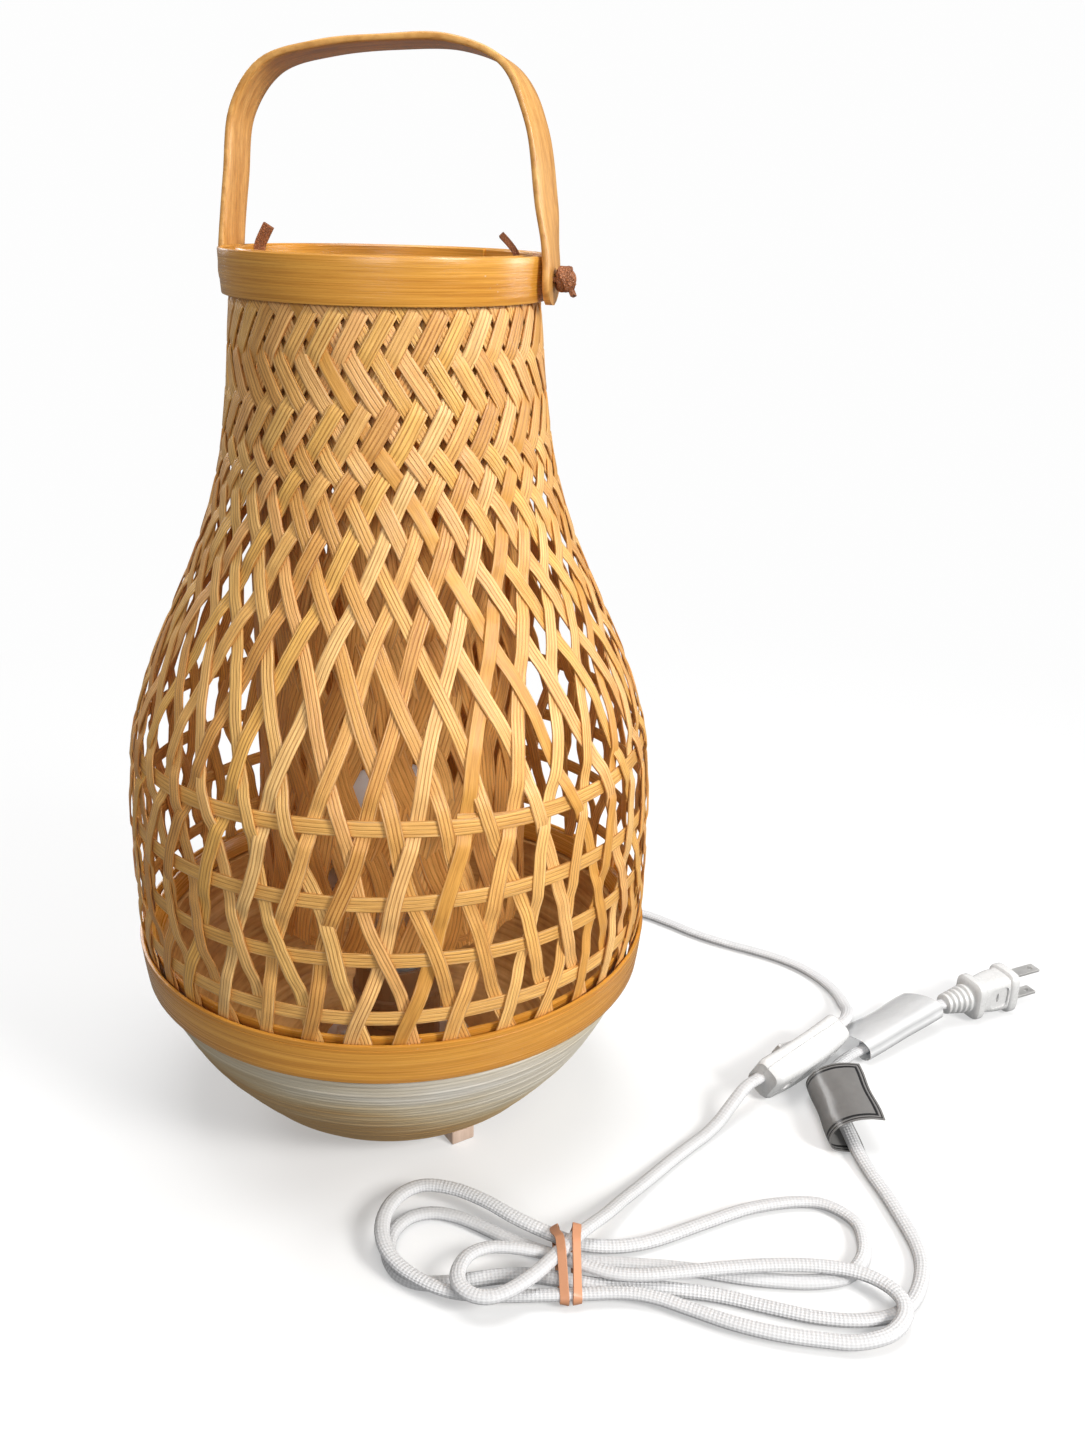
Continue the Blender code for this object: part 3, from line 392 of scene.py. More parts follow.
class Look:
    """A procedural material and short ways to add nodes to it."""

    def __init__(self, name, roughness, **constant):
        self.material = bpy.data.materials.new(name)
        self.material.use_nodes = True
        self.tree = self.material.node_tree
        self.shader = self.tree.nodes["Principled BSDF"]
        self.shader.inputs["Roughness"].default_value = roughness
        for label, value in constant.items():
            self.shader.inputs[label.replace("_", " ")].default_value = value

    def link(self, value, socket):
        if isinstance(value, bpy.types.NodeSocket):
            self.tree.links.new(value, socket)
        elif value is not None:
            socket.default_value = value

    def node(self, kind, inputs=(), **settings):
        node = self.tree.nodes.new(kind)
        for label, value in settings.items():
            setattr(node, label, value)
        for key, value in dict(inputs).items():
            self.link(value, node.inputs[key])
        return node

    def place(self, scale):
        """Object coordinates stretched by a scale for each axis."""
        source = self.node("ShaderNodeTexCoord").outputs["Object"]
        return self.node("ShaderNodeMapping", {"Vector": source, "Scale": scale}).outputs[0]

    def strand(self, scale):
        """(across, along, strand number) stretched by a scale."""
        source = self.node("ShaderNodeAttribute", attribute_name="strand").outputs["Vector"]
        return self.node("ShaderNodeMapping", {"Vector": source, "Scale": scale}).outputs[0]

    def parts(self):
        """Across, along and number as single values."""
        source = self.node("ShaderNodeAttribute", attribute_name="strand").outputs["Vector"]
        return self.node("ShaderNodeSeparateXYZ", {0: source}).outputs

    def noise(self, vector, detail, roughness):
        made = {"Vector": vector, "Scale": 1.0, "Detail": detail, "Roughness": roughness}
        return self.node("ShaderNodeTexNoise", made).outputs[0]

    def grain(self, scale, detail, roughness=0.55):
        """Noise fixed to the piece."""
        return self.noise(self.place(scale), detail, roughness)

    def fibres(self, scale, detail, roughness=0.55):
        """Noise that runs with the strands."""
        return self.noise(self.strand(scale), detail, roughness)

    def maths(self, operation, *values):
        return self.node("ShaderNodeMath", enumerate(values), operation=operation).outputs[0]

    def times(self, first, second):
        return self.maths("MULTIPLY", first, second)

    def plus(self, first, second):
        return self.maths("ADD", first, second)

    def ramp(self, factor, *stops):
        """A colour or grey for each (place, colour) stop."""
        node = self.node("ShaderNodeValToRGB", {0: factor})
        elements = node.color_ramp.elements
        while len(elements) < len(stops):
            elements.new(1.0)
        for element, (place, colour) in zip(elements, stops):
            element.position = place
            element.color = (*colour, 1) if hasattr(colour, "__len__") else (colour, colour, colour, 1)
        return node.outputs[0]

    def mix(self, factor, first, second, blend="MIX"):
        node = self.node("ShaderNodeMix", data_type="RGBA", blend_type=blend)
        self.link(factor, node.inputs[0])
        for socket, value in ((node.inputs[6], first), (node.inputs[7], second)):
            self.link((*value, 1) if isinstance(value, tuple) else value, socket)
        return node.outputs[2]

    def tinted(self, amount, base, factor, *stops):
        """The base colour multiplied by a ramp."""
        return self.mix(amount, base, self.ramp(factor, *stops), "MULTIPLY")

    def dulled(self, factor, colour, share):
        """The colour, and in places a darker one."""
        return self.ramp(factor, (0.3, tuple(part * share for part in colour)), (0.7, colour))

    def colour(self, value):
        self.link((*value, 1) if isinstance(value, tuple) else value, self.shader.inputs["Base Color"])

    def rough(self, factor, low, high):
        """Roughness between two (place, roughness) stops."""
        self.link(self.ramp(factor, low, high), self.shader.inputs["Roughness"])

    def bump(self, height, distance, strength):
        made = {"Height": height, "Distance": distance, "Strength": strength}
        self.link(self.node("ShaderNodeBump", made).outputs[0], self.shader.inputs["Normal"])


def strip_look(name, stops, ribs=4.0, rib_depth=0.66, streak=0.74, edge=1.0, roughness=0.41):
    """Split bamboo: a colour for each strand, lengthwise ribs and fibres, and paler edges."""
    look = Look(name, roughness)
    across, _, number = look.parts()
    own = look.node("ShaderNodeTexWhiteNoise", {"W": number}, noise_dimensions="1D").outputs[0]
    base = look.ramp(own, *stops)
    # strands numbered over 0.9 are cut from the smooth outer skin of the cane
    skin = look.ramp(number, (0.0, 0.0), (0.895, 0.0), (0.905, 1.0), (1.0, 1.0))
    base = look.mix(skin, base, look.ramp(own, (0.0, (0.62, 0.315, 0.068)), (1.0, (0.72, 0.385, 0.095))))
    shifted = look.plus(look.times(across, ribs * 3.1416), look.times(own, 6.0))
    sway = look.times(look.fibres((0.6, 55, 9), 2.0), 3.4)
    wave = look.maths("SINE", look.plus(shifted, sway))
    half = look.maths("MULTIPLY_ADD", wave, 0.5, 0.5)
    groove = look.ramp(half, (0.0, 0.0), (0.30, 0.75), (0.65, 1.0))
    fibre = look.fibres((5.5, 60, 31), 5.0, 0.65)
    blotch = look.fibres((0.8, 22, 17), 3.0, 0.5)
    base = look.tinted(0.75, base, blotch, (0.25, (0.82, 0.76, 0.68)), (0.75, (1.12, 1.10, 1.04)))
    base = look.tinted(streak, base, fibre, (0.30, (0.62, 0.45, 0.29)), (0.60, (1.12, 1.11, 1.07)))
    lines = look.mix(look.times(skin, 0.9), look.ramp(groove, (0.0, 0.0), (0.8, 1.0)), (1.0, 1.0, 1.0))
    base = look.mix(rib_depth, base, look.mix(lines, (0.46, 0.29, 0.15), (1.04, 1.03, 1.0)), "MULTIPLY")
    brim = look.ramp(look.maths("ABSOLUTE", across), (0.0, 0.0), (0.80, 0.0), (0.86, 1.0), (0.92, 0.0))
    shade = look.ramp(look.maths("ABSOLUTE", across), (0.0, 1.0), (0.88, 1.0), (0.97, 0.30), (1.0, 0.20))
    base = look.mix(0.55, base, look.mix(shade, (0.50, 0.33, 0.18), (1.0, 1.0, 1.0)), "MULTIPLY")
    ragged = look.ramp(look.fibres((2.0, 90, 13), 2.0), (0.40, 0.0), (0.60, 0.55))
    base = look.mix(look.times(brim, ragged), base, (edge * 0.86, edge * 0.66, edge * 0.40))
    look.colour(base)
    look.rough(fibre, (0.2, roughness - 0.08), (0.8, roughness + 0.12))
    height = look.plus(look.times(lines, 0.6), look.times(fibre, 0.7))
    look.bump(height, 0.00032, 0.8)
    return look.material


def cane_look(name, dark, light, pale, stretch, roughness, speck=0.0):
    """A planed bamboo band: long fibres along it, slow tone changes, and chips along its edges."""
    look = Look(name, roughness, Coat_Weight=0.22, Coat_Roughness=0.24)
    x, y, z = stretch
    fibre = look.grain((x * 9, y * 9, z * 9), 6.0, 0.62)
    fine = look.grain((x * 22, y * 22, z * 30), 4.0, 0.6)
    tone = look.grain((x * 2.2, y * 2.2, z * 1.2), 3.0, 0.5)
    base = look.ramp(tone, (0.30, dark), (0.55, light), (0.78, pale))
    base = look.tinted(0.85, base, fibre, (0.30, (0.70, 0.57, 0.42)), (0.62, (1.10, 1.08, 1.02)))
    base = look.tinted(0.55, base, fine, (0.35, (0.70, 0.58, 0.44)), (0.55, (1.0, 1.0, 1.0)))
    if speck:
        chips = look.grain((620, 620, 760), 2.0, 0.6)
        where = look.grain((55, 55, 90), 1.0, 0.5)
        mask = look.times(
            look.ramp(chips, (0.70, 0.0), (0.74, 1.0)), look.ramp(where, (0.62, 0.0), (0.70, 1.0))
        )
        base = look.mix(look.times(mask, speck), base, (0.95, 0.93, 0.86))
    look.colour(base)
    look.rough(fibre, (0.2, roughness - 0.07), (0.8, roughness + 0.12))
    look.bump(look.plus(fibre, look.times(fine, 0.6)), 0.00012, 0.7)
    return look.material


def washed_look(name):
    """The bowl's outer coils: lime-washed bamboo, beige where the wash is thin, with painted shade that
    makes them browner and darker towards the left side and the bottom.
    """
    look = Look(name, 0.55)
    streak = look.grain((26, 26, 900), 5.0, 0.62)
    broad = look.grain((9, 9, 62), 4.0, 0.55)
    side = look.grain((4.2, 4.2, 9), 2.0, 0.5)
    place = look.node("ShaderNodeSeparateXYZ", {0: look.place((1, 1, 1))}).outputs
    # painted shade: the wash thins, browner and darker, towards the left side and towards the bottom, on
    # top of random patches of thin wash
    left_shade_and_wear = look.maths("MULTIPLY_ADD", place[0], -2.6, look.times(side, 0.55))
    wear_and_shade = look.maths("MULTIPLY_ADD", look.maths("SUBTRACT", 0.048, place[2]), 7.5, left_shade_and_wear)
    cover = look.maths(
        "SUBTRACT", look.maths("MULTIPLY_ADD", broad, 0.85, 0.15), look.maths("MAXIMUM", wear_and_shade, 0.05)
    )
    # less cover is browner and darker: random thin wash and painted shade together
    base = look.ramp(
        cover, (0.10, (0.46, 0.28, 0.110)), (0.26, (0.55, 0.42, 0.240)), (0.42, (0.60, 0.53, 0.400)),
        (0.60, (0.68, 0.65, 0.585)),
    )
    base = look.tinted(0.8, base, streak, (0.30, (0.78, 0.74, 0.68)), (0.62, (1.06, 1.06, 1.05)))
    look.colour(base)
    look.rough(streak, (0.2, 0.45), (0.8, 0.68))
    look.bump(look.plus(streak, look.times(broad, 0.5)), 0.0002, 0.8)
    return look.material


def coil_look(name):
    """The bowl's natural inside: coils of golden-brown bamboo with slanting tool marks."""
    look = Look(name, 0.48)
    streak = look.grain((30, 30, 500), 5.0, 0.62)
    slant = look.grain((150, 60, 60), 4.0, 0.6)
    base = look.ramp(
        streak, (0.28, (0.46, 0.22, 0.065)), (0.50, (0.68, 0.37, 0.12)), (0.72, (0.80, 0.50, 0.20))
    )
    base = look.tinted(0.5, base, slant, (0.35, (0.70, 0.62, 0.52)), (0.65, (1.1, 1.08, 1.0)))
    look.colour(base)
    look.bump(streak, 0.0002, 0.8)
    return look.material


def wood_look(name):
    """Pale sawn wood, its grain upright."""
    look = Look(name, 0.62)
    grain = look.grain((420, 420, 60), 5.0, 0.6)
    tone = look.grain((90, 90, 40), 2.0, 0.5)
    base = look.ramp(grain, (0.3, (0.50, 0.36, 0.27)), (0.7, (0.68, 0.52, 0.42)))
    look.colour(look.tinted(0.4, base, tone, (0.3, (0.84, 0.80, 0.78)), (0.7, (1.05, 1.02, 1.0))))
    look.bump(grain, 0.00015, 0.7)
    return look.material


def leather_look(name):
    """Brown leather with an embossed net of small pebbles."""
    look = Look(name, 0.50)
    cells = look.node(
        "ShaderNodeTexVoronoi", {"Vector": look.place((1, 1, 1)), "Scale": 1150}, feature="DISTANCE_TO_EDGE"
    )
    pebble = look.ramp(cells.outputs[0], (0.0, 0.0), (0.10, 0.55), (0.32, 1.0))
    tone = look.grain((260, 260, 260), 3.0, 0.55)
    base = look.ramp(tone, (0.3, (0.26, 0.088, 0.030)), (0.7, (0.44, 0.165, 0.062)))
    look.colour(look.mix(0.75, base, look.mix(pebble, (0.42, 0.36, 0.34), (1.12, 1.1, 1.08)), "MULTIPLY"))
    look.rough(pebble, (0.0, 0.72), (1.0, 0.42))
    look.bump(pebble, 0.00022, 0.9)
    return look.material


def metal_look(name, colour, roughness):
    """Dull plated metal with drawn-out smears."""
    look = Look(name, roughness, Metallic=0.75)
    smear = look.grain((160, 160, 900), 4.0, 0.6)
    dull = look.grain((90, 90, 90), 3.0, 0.5)
    look.colour(look.dulled(dull, colour, 0.82))
    look.rough(smear, (0.2, roughness - 0.08), (0.8, roughness + 0.14))
    look.bump(smear, 0.00003, 0.5)
    return look.material


def plastic_look(name, colour, roughness, grain=260, distance=0.000008):
    """A moulding with a fine skin."""
    look = Look(name, roughness, Coat_Weight=0.12, Coat_Roughness=0.2)
    skin = look.grain((grain, grain, grain), 3.0, 0.6)
    tone = look.grain((45, 45, 45), 2.0, 0.5)
    look.colour(look.dulled(tone, colour, 0.95))
    look.rough(skin, (0.2, roughness - 0.05), (0.8, roughness + 0.08))
    look.bump(skin, distance, 0.6)
    return look.material


def textile_look(name, colour):
    """A braided jacket: two crossing sets of threads round the cord."""
    look = Look(name, 0.62, Sheen_Weight=0.25, Sheen_Roughness=0.4)
    across, along, _ = look.parts()
    around = look.times(across, 2 * pi * 7)
    forward = look.times(along, 2 * pi / 0.0030)
    left = look.maths("SINE", look.plus(around, forward))
    right = look.maths("SINE", look.maths("SUBTRACT", around, forward))
    threads = look.times(left, right)
    # here and there the braid is worn, and stands out less
    wear_and_shade = look.fibres((1, 9, 1), 1.0, 0.5)
    threads = look.times(threads, look.ramp(wear_and_shade, (0.40, 0.35), (0.65, 1.0)))
    fuzz = look.fibres((60, 2600, 1), 3.0, 0.6)
    slow = look.fibres((2, 30, 1), 2.0, 0.5)
    height = look.plus(look.times(threads, 0.5), look.times(fuzz, 0.5))
    shade = look.ramp(look.plus(look.times(threads, 0.35), 0.5), (0.2, 0.74), (0.75, 1.03))
    look.colour(look.mix(0.8, look.dulled(slow, colour, 0.93), shade, "MULTIPLY"))
    look.bump(height, 0.00042, 0.75)
    return look.material


def label_look(name, colour, roughness, clear=0.0, border=False, painted_glints=False):
    """A plain film: satin, slightly creased, with a printed frame line and painted glints in bands across
    it if asked.
    """
    look = Look(name, roughness, Coat_Weight=0.3, Coat_Roughness=0.15)
    crease = look.grain((140, 140, 140), 4.0, 0.6)
    base = look.dulled(crease, colour, 0.86)
    across, along, _ = look.parts()
    if painted_glints:
        # painted highlights and shade: light and dark bands along the film, at set places round its curl
        painted_glint_bands = (
            (0.0, 0.95), (0.05, 0.62), (0.50, 0.72), (0.58, 0.98), (0.64, 0.45), (0.69, 1.0), (0.76, 0.62)
        )
        base = look.mix(0.75, base, look.ramp(across, *painted_glint_bands))
    if border:
        side = look.times(look.maths("MINIMUM", across, look.maths("SUBTRACT", 1.0, across)), 1.3)
        end = look.maths("MINIMUM", along, look.maths("SUBTRACT", 1.0, along))
        edge = look.maths("MINIMUM", side, end)
        frame_line = look.ramp(
            edge, (0.020, 0.0), (0.024, 1.0), (0.036, 1.0), (0.040, 0.0), (0.058, 0.0), (0.062, 1.0),
            (0.092, 1.0), (0.096, 0.0),
        )
        base = look.mix(frame_line, base, (0.012, 0.012, 0.013))
    look.colour(base)
    look.bump(crease, 0.0006, 0.6)
    if clear:
        look.shader.inputs["Alpha"].default_value = 1 - clear
    return look.material


STRIP_TONES = (
    (0.00, (0.68, 0.350, 0.100)), (0.20, (0.86, 0.500, 0.160)), (0.40, (0.92, 0.590, 0.225)),
    (0.58, (0.87, 0.490, 0.190)), (0.74, (0.95, 0.650, 0.285)), (0.88, (0.86, 0.520, 0.145)),
)
SLEEVE_TONES = (
    (0.0, (0.74, 0.370, 0.095)), (0.4, (0.88, 0.480, 0.145)), (0.7, (0.95, 0.570, 0.200)),
    (1.0, (0.82, 0.440, 0.150)),
)
LOOKS = {
    "strip": strip_look("split_bamboo", STRIP_TONES),
    "hoop": strip_look(
        "hoop_bamboo", ((0.0, (0.76, 0.43, 0.12)), (1.0, (0.86, 0.52, 0.17))), ribs=4, rib_depth=0.3
    ),
    "sleeve": strip_look(
        "sleeve_bamboo", SLEEVE_TONES, ribs=5, rib_depth=0.5, streak=0.7, edge=0.7, roughness=0.38
    ),
    "rim": cane_look(
        "rim_cane", (0.66, 0.300, 0.040), (0.76, 0.385, 0.066), (0.84, 0.470, 0.110), (2, 2, 190), 0.24,
        speck=0.5,
    ),
    "lower": cane_look(
        "lower_cane", (0.64, 0.290, 0.040), (0.72, 0.350, 0.056), (0.80, 0.420, 0.085), (1.5, 1.5, 170),
        0.24, speck=0.8,
    ),
    "handle": cane_look(
        "handle_cane", (0.60, 0.290, 0.065), (0.74, 0.400, 0.118), (0.82, 0.490, 0.175), (12, 130, 12), 0.38
    ),
    "washed": washed_look("lime_washed_coils"),
    "coil": coil_look("natural_coils"),
    "wood": wood_look("foot_wood"),
    "leather": leather_look("embossed_leather"),
    "steel": metal_look("plated_steel", (0.84, 0.83, 0.81), 0.40),
    "brass": metal_look("brass", (0.80, 0.60, 0.26), 0.26),
    "plastic": plastic_look("white_moulding", (0.70, 0.70, 0.695), 0.26),
    "phenolic": plastic_look("brown_moulding", (0.27, 0.145, 0.065), 0.32),
    "opal": plastic_look("opal_diffuser", (0.90, 0.90, 0.87), 0.30),
    "textile": textile_look("white_braid", (0.72, 0.72, 0.73)),
    "rubber": plastic_look("tan_rubber", (0.62, 0.29, 0.155), 0.48, 700, 0.00012),
    "grey_film": label_look("grey_film", (0.20, 0.195, 0.19), 0.27, border=True),
    "clear_film": label_look("clear_film", (0.80, 0.82, 0.85), 0.10, clear=0.30, painted_glints=True),
    "clear_sleeve": label_look("clear_sleeve", (0.74, 0.77, 0.81), 0.10, clear=0.45),
}


# ---------------- cord

# the cord's routes are in millimetres
LEAD_ROUTE = (
    (1.2, 102.0, 8.2), (4.2, 113.0, 4.3), (10.0, 126.5, 2.6), (19.5, 141.0, 2.3), (33.0, 155.0, 2.3),
    (50.0, 165.0, 2.3), (67.0, 169.5, 2.3), (82.5, 169.5, 2.3), (97.5, 164.0, 2.3), (113.8, 156.6, 2.3),
    (130.0, 151.6, 2.3), (145.4, 148.3, 2.3), (160.0, 144.3, 2.3), (172.4, 138.4, 2.3), (183.5, 129.3, 2.4),
    (191.5, 118.0, 3.0), (195.8, 105.0, 4.8), (197.6, 93.0, 8.8),
)
FEED_ROUTE = (
    (152.2, 6.0, 7.6), (148.2, -2.0, 4.0), (143.8, -10.5, 2.5), (139.0, -19.0, 2.3), (133.5, -29.0, 2.3),
    (128.2, -40.0, 2.6), (122.8, -52.5, 3.8), (118.4, -64.0, 5.8), (114.6, -75.7, 8.2),
)
# from the upper side of the waist: the small left loop, the outer right loop, the outer left loop,
# the upper right loop, the inner left loop, and out along the middle
HANK_ROUTE = (
    (111.0, -84.5, 10.0), (107.0, -93.5, 11.2), (102.4, -104.4, 11.6), (96.5, -116.5, 10.8),
    (88.8, -127.2, 10.2), (81.5, -131.8, 10.0), (73.5, -130.4, 10.0), (69.2, -124.0, 10.0),
    (69.8, -114.7, 10.0), (75.7, -107.8, 9.6), (85.7, -104.2, 8.8), (97.2, -102.6, 7.6),
    (108.0, -103.0, 7.0), (121.9, -104.3, 6.8), (133.0, -102.1, 6.7), (143.9, -97.8, 6.7),
    (160.3, -90.6, 6.7), (176.9, -84.1, 6.7), (193.8, -79.3, 6.7), (208.0, -77.8, 6.7), (219.0, -80.5, 6.7),
    (226.2, -86.8, 6.7), (227.2, -95.0, 6.2), (222.2, -103.2, 5.0), (212.0, -109.0, 4.2),
    (201.6, -111.0, 4.0), (185.5, -112.8, 4.0), (169.0, -112.6, 4.0), (152.0, -110.2, 4.0),
    (140.2, -108.6, 4.0), (128.8, -109.6, 4.1), (114.8, -114.3, 4.2), (103.8, -118.2, 4.4),
    (91.3, -122.6, 4.6), (79.7, -126.2, 5.0), (68.0, -128.4, 5.6), (56.8, -127.0, 6.4), (45.8, -122.8, 7.4),
    (37.4, -115.2, 8.2), (32.6, -103.4, 8.4), (33.4, -90.8, 8.4), (40.6, -81.6, 8.4), (53.0, -79.6, 8.2),
    (66.8, -82.2, 7.8), (81.2, -87.2, 7.0), (94.0, -89.8, 5.8), (104.0, -90.5, 4.4), (113.0, -89.0, 3.4),
    (123.9, -85.0, 2.8), (134.7, -78.0, 2.4), (150.7, -64.0, 2.3), (167.4, -50.2, 2.3), (185.1, -41.2, 2.3),
    (197.3, -39.8, 2.3), (208.5, -46.6, 2.3), (212.2, -58.0, 2.3), (211.2, -68.0, 2.3), (205.8, -77.0, 2.3),
    (194.4, -82.9, 2.3), (180.9, -86.2, 2.3), (169.5, -88.0, 2.3), (156.4, -89.0, 2.3), (142.4, -90.5, 2.3),
    (125.2, -93.8, 2.3), (113.8, -96.4, 2.3), (104.5, -97.2, 2.3), (95.0, -96.5, 2.3), (85.0, -95.0, 2.3),
    (75.6, -92.6, 2.3), (64.9, -89.4, 2.3), (55.7, -87.8, 2.3), (46.9, -88.7, 2.3), (39.4, -94.0, 2.3),
    (36.2, -103.3, 2.3), (38.4, -113.5, 2.3), (45.0, -121.6, 2.3), (54.0, -124.2, 2.3), (64.0, -121.8, 2.3),
    (72.6, -117.6, 2.3), (82.6, -112.8, 2.3), (93.6, -109.2, 2.3), (105.0, -108.0, 2.3),
    (117.7, -107.0, 2.3), (133.4, -103.6, 2.3), (144.7, -101.3, 2.3), (161.7, -99.4, 2.3),
    (178.9, -99.8, 2.3), (195.7, -99.8, 2.3), (210.1, -97.4, 2.3), (221.2, -92.6, 2.3), (228.2, -86.0, 2.3),
    (232.2, -76.5, 2.4),
)
TAIL_ROUTE = (
    (233.8, -64.0, 2.3), (231.8, -53.0, 2.3), (226.2, -40.0, 2.3), (219.5, -26.5, 2.3), (213.0, -15.0, 2.4),
    (207.4, -4.0, 3.0), (203.0, 7.0, 3.8), (198.4, 18.0, 4.4), (194.5, 29.0, 4.6), (192.5, 39.0, 4.4),
    (193.0, 48.0, 4.0), (196.5, 56.5, 4.0), (201.5, 64.0, 4.6), (207.8, 71.0, 5.4), (214.8, 78.5, 6.5),
    (222.8, 88.0, 8.0),
)


def metres(point):
    return Vector([value / 1000 for value in point])


def cord_line():
    """The whole cord's centreline: from the gland, through the switch, to inside the plug's relief."""
    gland = GLAND_FACE + GLAND_OUT * GLAND_STUB
    route = [gland + GLAND_OUT * reach for reach in (-0.003, 0.0015, 0.010)]
    route += [metres(point) for point in LEAD_ROUTE]
    for reach in (SWITCH_HALF + 0.010, SWITCH_HALF, 0, -SWITCH_HALF, -SWITCH_HALF - 0.010):
        route.append(SWITCH_MIDDLE + SWITCH_ALONG * reach)
    route += [metres(point) for point in (*FEED_ROUTE, *HANK_ROUTE, *TAIL_ROUTE)]
    route += [RELIEF_END - PLUG_ALONG * reach for reach in (0.010, 0, -0.006)]
    return evenly(smooth_run(route, 10), CORD_STEP)


def oval_tube(shape, line, count=20):
    """A flat two-core cord on its wide side, turning over a little here and there."""
    side, rise = crosswise(line)
    gone = distances(line)
    roll = 0.22 * np.sin(gone / 0.083) + 0.12 * np.sin(gone / 0.031 + 1)
    turned_side = side * np.cos(roll)[:, None] + rise * np.sin(roll)[:, None]
    turned_rise = rise * np.cos(roll)[:, None] - side * np.sin(roll)[:, None]
    turns = -pi / 2 + 2 * pi * np.arange(count) / count
    dip = 1 - 0.09 * np.exp(-((np.cos(turns) / 0.4) ** 2))
    wide = CORD_HALF_WIDTH * np.cos(turns)
    high = CORD_HALF_HEIGHT * np.sin(turns) * dip
    rows = swept(line, turned_side, turned_rise, wide[None, :], high[None, :])
    return shape.loft(rows, np.linspace(0, 1, count + 1), gone)


CORD_LINE = cord_line()
CORD_LENGTH = float(distances(CORD_LINE)[-1])
CORD_NODES = ("cord_lead", "cord_feed", "cord_hank", "cord_tail")
cord = piece("mains_cord", oval_tube(Shape(), CORD_LINE), "textile", *CORD_NODES)


# ---------------- shade

VIEW_ANGLE = radians(-68.9)  # polar angle of the photograph's viewpoint
STRANDS = 38
STEP = 2 * pi / STRANDS
PHASE = VIEW_ANGLE + radians(-25.0)
TWIST = radians(0.22)
# heights of the levels where the two sets of strands cross, from three above the first open one downwards
LEVELS = (
    0.3490, 0.3415, 0.3340, 0.3262, 0.3182, 0.3105, 0.3028, 0.2950, 0.2875, 0.2796, 0.2695, 0.2570, 0.2438,
    0.2300, 0.2115, 0.1875, 0.1600, 0.1255, 0.0900, 0.0560,
)
FIRST_LEVEL = -3
# how far out the strands that fall to the right lie at the first levels, the others lying the other side
LEVEL_LIFTS = (-0.5, 0.8, -1, -1, 1, 1, -1, -1, 1, -1, 1, -1, 1, -1, 1, -1)
# (height, how far out) all the way down, the middles of the hoops among them
LIFTS = (
    (0.3560, 0), *zip(LEVELS, LEVEL_LIFTS), (0.1711, 1.9), (0.1600, -1), (0.1441, -1.9), (0.1265, 1),
    (0.1207, 1.9), (0.0972, -1.9), (0.0895, -1), (0.0800, 0), (0.0650, 0),
)
LIFT_UNIT = 0.00050
STRIP_THICK = 0.00064


def smoothed(pairs):
    """Sorted (height, value) arrays on a smooth curve through the given pairs."""
    run = smooth_run([(value, 0, height) for height, value in pairs], 10)
    return np.array(sorted((point.z, point.x) for point in run))


OUTLINE = smoothed(WEAVE_OUTLINE)
LEVEL_TABLE = smoothed([(height, FIRST_LEVEL + place) for place, height in enumerate(LEVELS)])


def shade_radius(height):
    """The radius of the middle of the weave's thickness."""
    return np.interp(height, OUTLINE[:, 0], OUTLINE[:, 1]) - WEAVE_THICK / 2


def lift_at(height):
    """How far out of the shade's middle surface a falling strand lies, in lift units."""
    heights, values = np.array(LIFTS).T
    place = np.clip(np.searchsorted(-heights, -height) - 1, 0, len(heights) - 2)
    share = (heights[place] - height) / (heights[place] - heights[place + 1])
    share = smooth_step((share - 0.28) / 0.44)
    return values[place] + (values[place + 1] - values[place]) * share


def outward(turn, height):
    """Unit normals of the shade's surface."""
    slope = (shade_radius(height + 0.002) - shade_radius(height - 0.002)) / 0.004
    return unit(polar(1, turn, -slope))


def strand_turn(base, sign, height):
    """The polar angle of a strand: half a step for each level, a slow twist, and a lean as in the photo."""
    level = np.interp(height, LEVEL_TABLE[:, 0], LEVEL_TABLE[:, 1])
    turn = base + (sign * STEP / 2 + TWIST) * level
    share = smooth_step((0.320 - height) / 0.150)
    return turn + (-0.05 + 0.09 * share) * np.sin(turn - VIEW_ANGLE)


def strands(sign, smooth_skin):
    """One of the shade's two sets of slanting strips."""
    shape = Shape()
    height = np.concatenate([np.arange(0.3525, 0.0700, -0.0019), [0.0698]])
    for strand in range(STRANDS):
        a, b, c = rng.uniform(0, 2 * pi, 3)
        loose = smooth_step((0.26 - height) / 0.10)
        wobble = np.radians(0.30 + 0.75 * loose) * (
            0.7 * np.sin(height * 52 + a) + 0.5 * np.sin(height * 113 + b)
        )
        turn = strand_turn(PHASE + strand * STEP, sign, height) + wobble
        normals = outward(turn, height)
        radius = shade_radius(height)
        line = polar(radius, turn, height) + normals * (sign * lift_at(height) * LIFT_UNIT)[:, None]
        width = rng.uniform(0.00255, 0.00290) * (1 + 0.05 * np.sin(height * 40 + c))
        width = width * (1 + 0.10 * smooth_step((height - 0.25) / 0.07))
        number = rng.uniform(0.0, 0.88)
        if strand in smooth_skin:
            number = 0.92 + 0.001 * strand
        ribbon(shape, line, normals, width, STRIP_THICK, number, start=strand * 0.4)
    return shape


piece("weave_falling", strands(1, (0, 14, 23)), "strip", "shade_weave")
piece("weave_rising", strands(-1, (10, 14, 27)), "strip")


